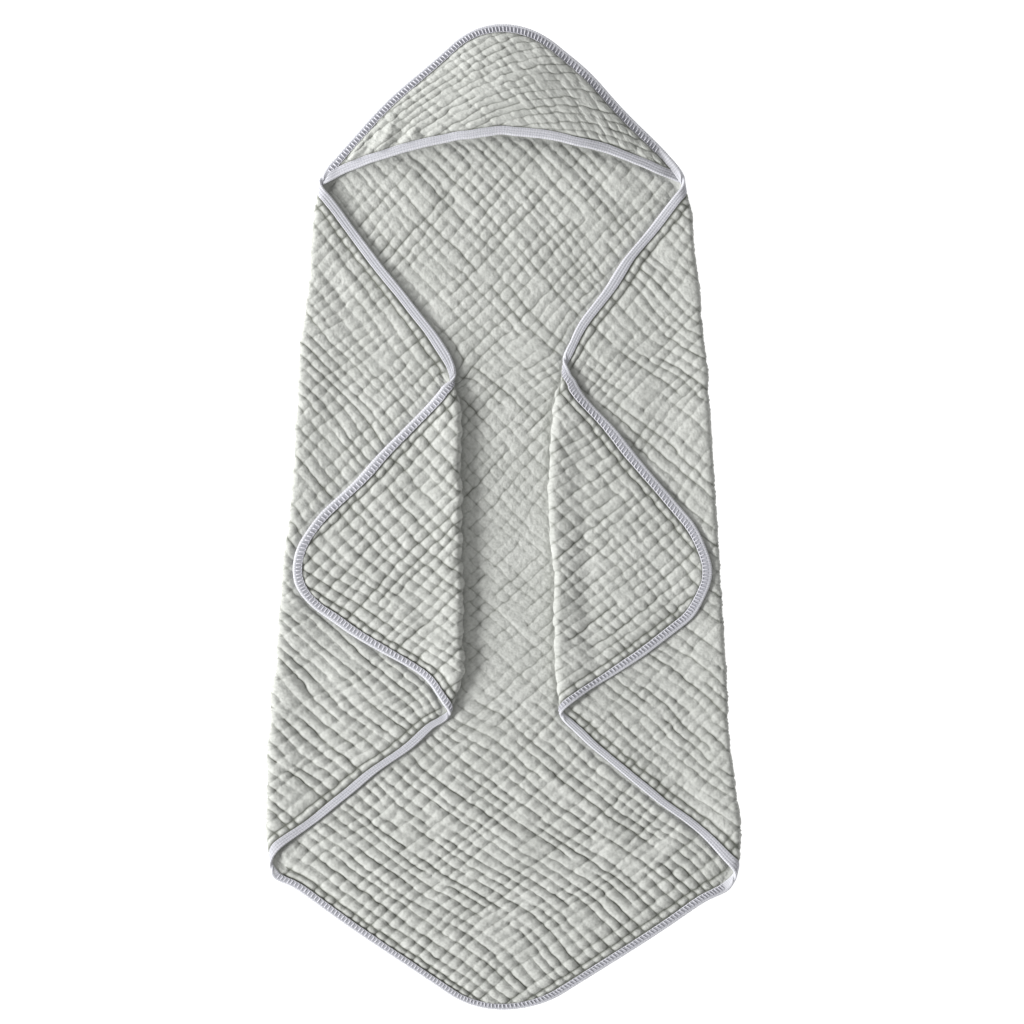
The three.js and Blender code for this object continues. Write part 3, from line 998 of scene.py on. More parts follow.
@dataclass
class Crinkle:
    """A cloth's net of creases, as a mesh that follows them."""

    first: CreaseFamily
    second: CreaseFamily
    strengths: Callable[[Array, Array], tuple]
    sharp: float = 5.5      # half the width of a crease's steep walls
    bend: float = 2.35      # how suddenly they rise
    broad: float = 9.0      # half the width of its soft shoulders

    def __post_init__(self) -> None:
        """Works out where the mesh's points are and how deep they lie."""
        a_lines, b_lines = self.first.positions(), self.second.positions()
        self.cells = (len(a_lines) - 1, len(b_lines) - 1)
        a_cell, a_part = self.steps(len(a_lines))
        b_cell, b_part = self.steps(len(b_lines))
        a_run = lerp(a_lines[a_cell], a_lines[a_cell + 1], a_part)
        b_run = lerp(b_lines[b_cell], b_lines[b_cell + 1], b_part)
        a_weak = np.clip(1.0 - self.strengths(a_lines[:, None], b_run[None, :])[0], 0, 1)
        b_weak = np.clip(1.0 - self.strengths(a_run[None, :], b_lines[:, None])[1], 0, 1)
        a_net = self.first.lines(a_lines, b_run) + self.first.offsets(a_lines, b_cell, b_part, a_weak)
        b_net = self.second.lines(b_lines, a_run) + self.second.offsets(b_lines, a_cell, a_part, b_weak)
        self.a = lerp(a_net[a_cell], a_net[a_cell + 1], a_part[:, None])
        self.b = lerp(b_net[b_cell], b_net[b_cell + 1], b_part[:, None]).T
        self.a_depth = self.first.depth(a_lines, b_run, b_cell, a_weak)
        self.b_depth = self.second.depth(b_lines, a_run, a_cell, b_weak)
        self.a_net, self.b_net, self.a_cell, self.b_cell = a_net, b_net, a_cell, b_cell

    @staticmethod
    def steps(lines: int) -> tuple:
        """The cell of each mesh point across the lines, and its part of the way over it."""
        cell = np.append(np.repeat(np.arange(lines - 1), SPLITS), lines - 2)
        return cell, np.append(np.tile(PUFF_STEPS, lines - 1), 1.0)

    def valley(self, at: Array, net: Array, cell: Array, depth: Array) -> Array:
        """How far down one family of creases takes each point.

        Args:
            at: Places across the family.
            net: Where its lines are.
            cell: The cell of each row of points.
            depth: How deep its lines are.

        Returns:
            Depths from 0 to 1.
        """
        left = np.ones_like(at)
        for offset in (-1, 0, 1, 2):
            line = cell + offset
            real = ((line >= 0) & (line < len(net)))[:, None]
            line = np.clip(line, 0, len(net) - 1)
            distance = np.abs(at - net[line])
            steep = np.clip(1.0 - distance / self.sharp, 0, 1) ** self.bend
            soft = np.clip(1.0 - distance / self.broad, 0, 1) ** 2
            left = left * (1.0 - np.where(real, depth[line] * (0.82 * steep + 0.18 * soft), 0.0))
        return 1.0 - left

    def valleys(self) -> tuple:
        """How far down the first and the second family take each point, 0 to 1."""
        a_strength, b_strength = self.strengths(self.a, self.b)
        in_a = self.valley(self.a, self.a_net, self.a_cell, self.a_depth) * a_strength
        in_b = self.valley(self.b.T, self.b_net, self.b_cell, self.b_depth).T * b_strength
        return np.clip(in_a, 0, 1), np.clip(in_b, 0, 1)


def grid_quads(i: Array, j: Array, rows: int) -> list:
    """One quad at each place i, j of a grid whose columns have so many points."""
    quads = np.stack([i * rows + j, (i + 1) * rows + j, (i + 1) * rows + j + 1, i * rows + j + 1], -1)
    return [tuple(quad) for quad in quads.tolist()]


def net_faces(cells: tuple, fine: Array, domed: Array, first_centre: int) -> tuple:
    """Faces over a crinkle's points: all quads in fine cells, fans or single quads in the rest.

    Args:
        cells: Numbers of cells both ways.
        fine: Whether each cell is fine.
        domed: Whether each cell keeps the point in its middle if it is not fine.
        first_centre: Number of the point in the middle of the first fan.

    Returns:
        The faces, anticlockwise on the front, and the cells that have a fan.
    """
    rows = cells[1] * SPLITS + 1
    step = np.arange(SPLITS)
    where = np.argwhere(fine)
    i = where[:, 0, None, None] * SPLITS + step[None, :, None]
    j = where[:, 1, None, None] * SPLITS + step[None, None, :]
    faces = grid_quads(*(c.ravel() for c in np.broadcast_arrays(i, j)), rows)
    padded = np.pad(fine, 1, constant_values=True)
    fans = np.argwhere(~fine)
    for number, (ci, cj) in enumerate(fans.tolist()):
        i0, j0 = ci * SPLITS, cj * SPLITS
        around = ((ci + 1, cj), (ci + 2, cj + 1), (ci + 1, cj + 2), (ci, cj + 1))
        low_b, high_a, high_b, low_a = (range(SPLITS if padded[near] else 1) for near in around)
        ring = [(i0 + t, j0) for t in low_b] + [(i0 + SPLITS, j0 + t) for t in high_a]
        ring += [(i0 + SPLITS - t, j0 + SPLITS) for t in high_b] + [(i0, j0 + SPLITS - t) for t in low_a]
        indices = [a * rows + b for a, b in ring]
        if len(indices) == 4 and not domed[ci, cj]:
            faces.append(tuple(indices))
            continue
        centre = first_centre + number
        faces.extend((centre, indices[k], indices[(k + 1) % len(indices)]) for k in range(len(indices)))
    return faces, fans


def fan_centres(grid: Array, fans: Array) -> Array:
    """The middle of each fan's cell, from the four grid points round it.

    Args:
        grid: Points or values of the whole net.
        fans: The cells that have a fan.

    Returns:
        One point or value for each fan.
    """
    low, high = fans * SPLITS + SPLITS // 2, fans * SPLITS + (SPLITS + 1) // 2
    i, j, k, l = low[:, 0], low[:, 1], high[:, 0], high[:, 1]
    return (grid[i, j] + grid[k, j] + grid[i, l] + grid[k, l]) / 4


def rim_faces(faces: list, back_from: int) -> list:
    """Quads that close the open edges of a front to the back below it.

    Args:
        faces: The front's faces.
        back_from: How much higher a point's number is on the back than on the front.

    Returns:
        The quads.
    """
    open_edges = {}
    for face in faces:
        for here, there in zip(face, face[1:] + face[:1]):
            if open_edges.pop((there, here), None) is None:
                open_edges[(here, there)] = True
    return [(here, here + back_from, there + back_from, there) for here, there in open_edges]


@dataclass(frozen=True)
class Region:
    """A part of the cut where the crinkle has its own strength and puff."""

    place: str
    across: float
    along: float
    reach: float
    first: float      # strength of the creases at u, which run up to the left on the bottom layer
    second: float     # and of those at v
    puff: float       # height of the puffs


REGIONS = (
    Region("under the hood", 0, 420, 80, 1.00, 0.66, 0.96),
    Region("upper middle", -10, 240, 120, 0.90, 0.94, 0.63),
    Region("middle strip", 0, -60, 120, 0.72, 0.84, 0.38),
    Region("bottom middle", 0, -330, 150, 1.05, 0.74, 1.26),
    Region("bottom corner", 0, -480, 110, 1.05, 0.80, 1.20),
    Region("left top corner", -480, 0, 150, 1.00, 0.95, 1.00),
    Region("right top corner", 480, 0, 150, 0.80, 1.00, 0.84),
    Region("left upper side", -230, 170, 120, 0.74, 0.98, 0.72),
    Region("left lower side", -260, -170, 120, 0.54, 1.02, 1.20),
    Region("right upper side", 230, 170, 120, 0.76, 0.96, 0.80),
    Region("right lower side", 260, -170, 120, 0.60, 1.00, 0.78),
)


def regional(u: Array, v: Array, column: str) -> Array:
    """One column of REGIONS, blended over the cut.

    Args:
        u, v: Places on the cut.
        column: The column's name.

    Returns:
        The column's blended values.
    """
    across, along = diagonals(u, v)
    total, weights = 0.0, 1e-6
    for region in REGIONS:
        squared = (across - region.across) ** 2 + (along - region.along) ** 2
        weight = np.exp(-squared / region.reach**2)
        total = total + weight * getattr(region, column)
        weights = weights + weight
    return (total + 1e-6) / weights


def hollow_of(in_a: Array, in_b: Array) -> Array:
    """How deep in the creases of either family a point is, 0 to 1."""
    return 1.0 - (1.0 - in_a) * (1.0 - in_b)


def dome(in_a: Array, in_b: Array) -> Array:
    """Height of a puff, 0 to 1, from how far down both families of creases take it."""
    return 1.0 - np.minimum(0.80 * (in_a + in_b) - 0.12 * in_a * in_b, 1.0)


@dataclass(frozen=True)
class Draw:
    """A place where the crinkle is drawn together along the towel, so that its creases lie flatter."""

    place: str
    across: float
    along: float
    reach_across: float
    reach_along: float
    amount: float


DRAWS = (
    Draw("bottom middle", 0, -320, 210, 110, 16.0),
    Draw("left upper side", -230, 190, 90, 80, 9.0),
    Draw("right upper side", 230, 190, 90, 80, 9.0),
    Draw("below the hood", 0, 300, 90, 80, -6.0),
)


def drawn(u: Array, v: Array) -> tuple:
    """Draws the crinkle's net together by DRAWS.

    Args:
        u, v: The net's places on the cut.

    Returns:
        Where its points are on the cut.
    """
    across, along = diagonals(u, v)
    free = smoothstep(10.0, 75.0, inset_of(u, v))
    step = np.zeros_like(along)
    for draw in DRAWS:
        x, y = (across - draw.across) / draw.reach_across, (along - draw.along) / draw.reach_along
        step = step - draw.amount * y * np.exp(0.5 - (x**2 + y**2) / 2)
    step = step * free / math.sqrt(2.0)
    return u + step, v + step


def crease_strengths(u: Array, v: Array) -> tuple:
    """Strengths of both families of the body's creases, which gather the strip by the tape."""
    strip = 1.0 - smoothstep(17.0, 26.0, inset_of(u, v))
    return tuple(lerp(regional(u, v, column), 1.08, strip) for column in ("first", "second"))


class CoverMap:
    """Which places of the plan lie under other cloth, softly to each side of its edge."""

    def __init__(self, points: Array, cell: float = 4.0, half: int = 170, blur: int = 2) -> None:
        """Marks the cells that hold points and blurs them.

        Args:
            points: Points all over the covering cloth.
            cell: Size of a cell of the map.
            half: Cells from the middle of the map to its sides.
            blur: How often it is blurred.
        """
        self.cell, self.half = cell, half
        index = np.clip(np.round(points[:, :2] / cell).astype(int) + half, 0, 2 * half)
        grid = np.zeros((2 * half + 1,) * 2)
        grid[index[:, 0], index[:, 1]] = 1.0
        for pick in (np.maximum, np.minimum):
            for axis in (0, 1):
                grid = pick(pick(np.roll(grid, 1, axis), np.roll(grid, -1, axis)), grid)
        for _ in range(blur):
            grid = sum(np.roll(grid, shift, 0) for shift in (-1, 0, 1)) / 3
            grid = sum(np.roll(grid, shift, 1) for shift in (-1, 0, 1)) / 3
        self.grid = grid

    def at(self, points: Array) -> Array:
        """How covered points are.

        Args:
            points: Points of the cloth below.

        Returns:
            0 where they are free to 1 where they are covered.
        """
        place = np.clip(points[..., :2] / self.cell + self.half, 0, 2 * self.half - 1.001)
        low = place.astype(int)
        part = place - low
        x, y = low[..., 0], low[..., 1]
        near = lerp(self.grid[x, y], self.grid[x + 1, y], part[..., 0])
        far = lerp(self.grid[x, y + 1], self.grid[x + 1, y + 1], part[..., 0])
        return lerp(near, far, part[..., 1])


# ---- Main creases ----


class Layer(Enum):
    """The layer of the laid towel that a main crease is in."""

    BOTTOM = 0
    MIDDLE = 1
    TOP = 2
    HOOD = 3


@dataclass(frozen=True)
class MainCrease:
    """A crease larger than the crinkle, a ridge if it rises and a trough if it falls."""

    start: tuple         # on the plan
    end: tuple
    width: float         # half, at 0.37 of its height
    rise: float
    bow: float = 0.0     # how far its middle stands off to the left of the straight line

    def height(self, x: Array, y: Array) -> Array:
        """How far it raises the cloth.

        Args:
            x, y: Places on the plan.

        Returns:
            Heights there, negative in a trough.
        """
        run_x, run_y = self.end[0] - self.start[0], self.end[1] - self.start[1]
        length = math.hypot(run_x, run_y)
        from_x, from_y = x - self.start[0], y - self.start[1]
        part = (from_x * run_x + from_y * run_y) / length**2
        aside = (from_y * run_x - from_x * run_y) / length - self.bow * 4.0 * part * (1.0 - part)
        taper = smoothstep(-0.15, 0.25, part) * (1.0 - smoothstep(0.75, 1.15, part))
        return self.rise * taper * np.exp(-((aside / self.width) ** 2))


def creases(*rows: tuple) -> tuple:
    """Main creases from rows of their start, end, width, rise and bow."""
    return tuple(MainCrease(*row) for row in rows)


MAIN_CREASES = {
    # In the bottom layer, running down from the hood and across the foot.
    Layer.BOTTOM: creases(
        ((-128, 380), (-52, 296), 7.0, 1.1, 5),
        ((-108, 392), (-30, 300), 5.5, -0.8, 6),
        ((-70, 396), (34, 268), 6.5, 0.9, 7),
        ((40, 388), (128, 300), 7.0, 1.2, -5),
        ((66, 384), (150, 306), 5.5, -0.9, -4),
        ((92, 378), (166, 318), 5.0, 0.9, -3),
        ((-20, 330), (60, 226), 8.0, 0.6, 3),
        ((-36, 140), (30, 110), 6.0, 0.7, 3),
        ((-30, 60), (36, 2), 7.0, 0.5, -3),
        ((-34, -70), (40, -128), 7.5, 0.6, 3),
        ((-36, -214), (60, -262), 6.0, 1.0, 4),
        ((-60, -230), (78, -300), 5.0, -0.8, 5),
        ((-128, -262), (22, -346), 7.5, 1.3, 6),
        ((-160, -292), (-40, -366), 6.0, -0.9, 4),
        ((-206, -318), (-92, -398), 7.5, 1.3, 4),
        ((24, -254), (140, -332), 6.0, 1.1, 4),
        ((40, -300), (186, -384), 7.5, 1.2, 6),
        ((-60, -352), (92, -432), 7.0, 1.0, 6),
        ((96, -352), (202, -404), 5.5, -0.9, 3),
        ((-120, -400), (-8, -470), 7.0, 1.1, 5),
        ((150, -406), (60, -440), 6.0, 0.8, 3),
    ),
    # In the folded-in sides, above and below the corners that lie on them.
    Layer.MIDDLE: creases(
        ((-186, 292), (-128, 214), 6.5, 1.2, -4),
        ((-188, 262), (-146, 202), 5.0, -0.9, -3),
        ((-192, 212), (-96, 120), 7.5, 0.9, -5),
        ((-120, 214), (-72, 150), 5.5, 0.7, 2),
        ((-208, 128), (-150, 72), 7.0, 1.0, -3),
        ((112, 292), (178, 214), 6.5, 1.0, 4),
        ((132, 302), (190, 236), 5.0, -0.8, 4),
        ((70, 196), (150, 122), 7.0, 0.8, 4),
        ((62, 162), (84, 130), 4.5, -1.0, 2),
        ((128, 118), (206, 52), 7.0, 0.9, 4),
        ((-236, -108), (-120, -192), 7.0, 1.4, 5),
        ((-240, -132), (-146, -202), 5.0, -1.0, 4),
        ((-240, -166), (-128, -246), 7.0, 1.5, 5),
        ((-242, -206), (-160, -268), 6.0, -1.0, 3),
        ((-246, -236), (-190, -288), 6.5, 1.3, 3),
        ((-150, -150), (-70, -200), 5.5, 1.1, 3),
        ((118, -156), (196, -244), 6.5, 1.1, -4),
        ((150, -150), (222, -226), 5.0, -0.9, -4),
        ((170, -110), (232, -170), 6.5, 1.2, -3),
        ((90, -196), (170, -284), 6.5, 1.0, -4),
        ((176, -236), (236, -312), 7.0, 1.2, -3),
    ),
    # In the corners on top, beside their folds and up to their bindings.
    Layer.TOP: creases(
        ((60, 108), (56, -176), 8.0, 1.0, -3),
        ((82, 66), (88, -40), 9.0, -1.2, -3),
        ((84, -10), (98, -168), 12.0, -2.0, -4),
        ((84, 92), (62, 66), 3.5, -1.2, 1),
        ((104, 64), (72, 26), 4.0, -1.3, 2),
        ((132, 24), (92, -22), 4.5, 0.9, 3),
        ((176, -36), (124, -76), 4.5, -1.0, 3),
        ((168, -92), (104, -140), 5.5, 0.9, 4),
        ((-52, 110), (-48, -170), 20.0, 1.6, 2),
        ((-76, 64), (-128, 12), 5.5, 0.9, 3),
        ((-176, -24), (-112, -84), 5.5, 1.0, 3),
        ((-160, -6), (-100, -64), 5.0, -0.8, 3),
        ((-150, -62), (-80, -126), 6.0, 1.0, 3),
    ),
    # In the hood: puckers fanning out from its left corner, short folds up from its front edge.
    Layer.HOOD: creases(
        ((-160, 366), (-146, 412), 3.4, 2.4, -3),
        ((-152, 366), (-133, 412), 3.0, -2.2, -4),
        ((-142, 368), (-112, 420), 4.4, 2.6, -6),
        ((-130, 370), (-100, 408), 3.2, -2.2, -4),
        ((-118, 374), (-86, 412), 4.4, 2.0, -4),
        ((-104, 380), (-76, 404), 3.2, -1.4, -3),
        ((-30, 428), (62, 476), 6.0, 0.7, 4),
        ((-70, 444), (16, 494), 6.0, 0.7, 5),
        ((120, 376), (134, 396), 3.2, 1.0, 1),
        ((134, 371), (146, 392), 3.0, -1.0, 1),
        ((146, 366), (156, 384), 3.2, 1.0, 1),
        ((158, 361), (166, 376), 2.8, -0.9, 1),
    ),
}


def creases_height(layer: Layer, x: Array, y: Array) -> Array:
    """How far one layer's main creases raise it at places on the plan."""
    return sum(crease.height(x, y) for crease in MAIN_CREASES[layer])


# ---- The body ----


@dataclass
class TowelBody(Piece):
    """The crinkled square, folded."""

    lay: TowelLay
    hood: "HoodPanel"
    core: float = 0.65             # half the wall where it is pressed together
    puff: float = 3.4              # height of a full puff over its creases
    pressed: float = 0.22          # share of it left where cloth lies on cloth
    underside_crease: float = 0.8  # depth of the creases that rest on the floor
    fine_facing: float = 0.1       # a face is fine if it shows and looks up more than this
    fine_cover: float = 0.5        # and if it is covered less than this
    name: str = "towel_body"
    slot: str = "muslin"
    nodes: tuple = ("towel_body",)

    def __post_init__(self) -> None:
        """Works out the crinkle and where all its points lie."""
        edge = CUT_HALF - CLOTH_INSET
        self.crinkle = Crinkle(CreaseFamily(21, -edge, edge), CreaseFamily(57, -edge, edge), crease_strengths)
        u, v = drawn(self.crinkle.a, self.crinkle.b)
        self.u, self.v = self.drawn_rim(*self.trimmed(u, v))
        self.inside = inset_of(u, v) > CLOTH_INSET - 0.01
        self.inset = inset_of(self.u, self.v)
        self.laid = self.lay.place(self.u, self.v, self.inset)
        at, turn, back = self.laid.at, self.laid.turn, self.laid.back
        over_bottom = CoverMap(np.concatenate([at[turn > 0.4], self.hood.plan_points()]))
        over_middle = CoverMap(at[back > 0.4])
        inside_outer, inside_inner = (turn > 0.0) & (turn < 1.0), (back > 0.0) & (back < 1.0)
        self.covered_front = np.where(turn > 0.0, 1.0 * inside_outer, over_bottom.at(at))
        self.covered_back = np.where((turn < 1.0) | (back > 0.0), 1.0 * inside_inner, over_middle.at(at))

    @staticmethod
    def trimmed(u: Array, v: Array) -> tuple:
        """Brings points outside the rounded corners in to them.

        Args:
            u, v: Places on the cut.

        Returns:
            The places inside the corners.
        """
        centre, radius = CUT_HALF - CORNER_RADIUS, CORNER_RADIUS - CLOTH_INSET
        out_u, out_v = np.abs(u) - centre, np.abs(v) - centre
        distance = np.hypot(out_u, out_v)
        outside = (out_u > 0) & (out_v > 0) & (distance > radius)
        scale = np.where(outside, radius / np.maximum(distance, 1e-6), 1.0)
        pairs = ((u, out_u), (v, out_v))
        return tuple(np.where(outside, np.sign(c) * (centre + out * scale), c) for c, out in pairs)

    @staticmethod
    def drawn_rim(u: Array, v: Array) -> tuple:
        """Draws points inside the tape in with it where it is narrower.

        Args:
            u, v: Places on the cut.

        Returns:
            The drawn places.
        """
        inward = np.maximum(TAPE_REACH - inset_of(u, v), 0.0) * (1.0 - tape_width(u, v))
        by_u = np.abs(u) > np.abs(v)
        return u - np.sign(u) * np.where(by_u, inward, 0.0), v - np.sign(v) * np.where(by_u, 0.0, inward)

    def puffs(self, seed: int) -> tuple:
        """Height of the puffs at each point and how deep in a crease it lies.

        Args:
            seed: Picks the unevenness of one face of the cloth.

        Returns:
            Heights over the creases for a full puff, and hollows from 0 to 1.
        """
        u, v = self.crinkle.a, self.crinkle.b
        in_a, in_b = self.crinkle.valleys()
        tall = regional(u, v, "puff") * (1.0 + 0.20 * soft_noise(u, v, 15.0, seed))
        height = self.puff * tall * dome(in_a, in_b) + 0.26 * soft_noise(u, v, 6.0, seed + 1)
        free = smoothstep(8.5, 11.0, self.inset)
        return height * free, lerp(1.0, hollow_of(in_a, in_b), smoothstep(9.0, 11.6, self.inset))

    def main_creases(self) -> Array:
        """How far the larger creases raise the cloth at each point, both its faces together."""
        turn, back = self.laid.turn, self.laid.back
        shares = {
            Layer.BOTTOM: 1.0 - smoothstep(0.0, 0.3, turn),
            Layer.MIDDLE: smoothstep(0.7, 1.0, turn) * (1.0 - smoothstep(0.0, 0.3, back)),
            Layer.TOP: smoothstep(0.7, 1.0, back),
        }
        x, y = self.lay.uncentred(self.laid.at[..., 0], self.laid.at[..., 1])
        return sum(share * creases_height(layer, x, y) for layer, share in shares.items())

    def surfaces(self) -> tuple:
        """The front and back points and their hollows."""
        at, front = self.laid.at, self.laid.front
        wave = self.lay.wave(at[..., 0], at[..., 1]) * smoothstep(10.0, 30.0, self.inset)
        wave = wave + self.main_creases() * smoothstep(9.0, 17.0, self.inset)
        result = []
        # shaded: the share of the painted crease shade that a face keeps where it is covered or faces down.
        sides = ((1, 101, 0.6, self.covered_front), (-1, 131, 0.8, self.covered_back))
        for sign, seed, shaded, covered in sides:
            height, hollow = self.puffs(seed)
            facing_up = smoothstep(-0.6, 0.92, sign * front[..., 2])
            free = facing_up * (1.0 - smoothstep(0.15, 0.6, covered))
            share = lerp(self.pressed, 1.0, free)
            points = at + sign * front * (self.core + height * share)[..., None]
            raised = np.where(self.laid.turn > 0, 1.0, 1.0 if sign > 0 else 0.0)
            points[..., 2] += wave * raised * lerp(0.5, 1.0, free)
            if sign < 0:
                resting = 1.0 - smoothstep(0.0, 0.5, self.laid.turn)
                edge = EDGE_LIFT * (1 - smoothstep(9.8, 15.4, self.inset))
                floor_level = self.underside_crease * hollow + edge
                points[..., 2] = lerp(points[..., 2], np.minimum(floor_level, at[..., 2] - 0.4), resting)
            points[..., 2] = np.maximum(points[..., 2], 0.0)
            result.append((points, hollow * lerp(shaded, 1.0, free)))
        return tuple(result)

    def by_cell(self, marks: Array) -> Array:
        """Marks of the net's points, by cell and place in it on both axes."""
        cells_a, cells_b = self.crinkle.cells
        return marks[:-1, :-1].reshape(cells_a, SPLITS, cells_b, SPLITS)

    def build(self) -> bpy.types.Object:
        """Makes the closed wall of cloth, fine where it shows."""
        front, back = self.surfaces()
        corners = ~self.by_cell(self.inside).all(axis=(1, 3))
        bottom = self.by_cell(self.laid.turn < 0.3).all(axis=(1, 3))
        up = self.laid.front[..., 2]
        shows_front = (up > self.fine_facing) & (self.covered_front < self.fine_cover)
        shows_back = (-up > self.fine_facing) & (self.covered_back < self.fine_cover)
        count, flat_inside = self.inside.size, self.inside.ravel()
        cut = np.stack([self.u, self.v], -1)
        points, hollows, cuts, sides = [], [], [], []
        faces_of_cloth = ((front, shows_front, np.zeros_like(bottom)), (back, shows_back, bottom))
        for (grid, hollow), shows, domed in faces_of_cloth:
            fine = self.by_cell(shows).any(axis=(1, 3)) | corners
            faces, fans = net_faces(self.crinkle.cells, fine, domed, count)
            sides.append([f for f in faces if f[0] >= count or any(flat_inside[c] for c in f)])
            points += [grid.reshape(-1, 3), fan_centres(grid, fans)]
            hollows += [hollow.ravel(), fan_centres(hollow, fans)]
            cuts += [cut.reshape(-1, 2), fan_centres(cut, fans)]
        back_from = len(points[0]) + len(points[1])
        front_faces = sides[0]
        back_faces = [tuple(c + back_from for c in reversed(face)) for face in sides[1]]
        faces = front_faces + back_faces + rim_faces(front_faces, back_from)
        # The hollow attribute drives the painted shade in the muslin's creases.
        values = {"hollow": np.concatenate(hollows)}
        parts = MeshParts(np.concatenate(points), faces, values, np.concatenate(cuts))
        return drop_loose(parts).build(self.name)


# ---- The hood ----


@dataclass(frozen=True)
class HoodFront:
    """The curved front edge of the hood, from its highest point down past the two corners."""

    x: float = -1.0            # its highest point
    y: float = 396.0
    drop: float = 54.0         # how far it falls over half the hood
    half: float = 195.0
    left_power: float = 1.6    # how it bends down to each side
    right_power: float = 1.9
    round_top: float = 0.012   # how round its highest point is
    ripple: float = 1.5

    def level(self, x: Array) -> Array:
        """Where the front edge is on the plan.

        Args:
            x: Places across it.

        Returns:
            Its places along the towel.
        """
        along = (x - self.x) / self.half
        power = np.where(along < 0, self.left_power, self.right_power) / 2
        ripple = self.ripple * (soft_noise(x, x * 0.0, 38.0, 313) + 0.4 * soft_noise(x, x * 0.0, 15.0, 314))
        return self.y - self.drop * ((along**2 + self.round_top) ** power - self.round_top**power) + ripple


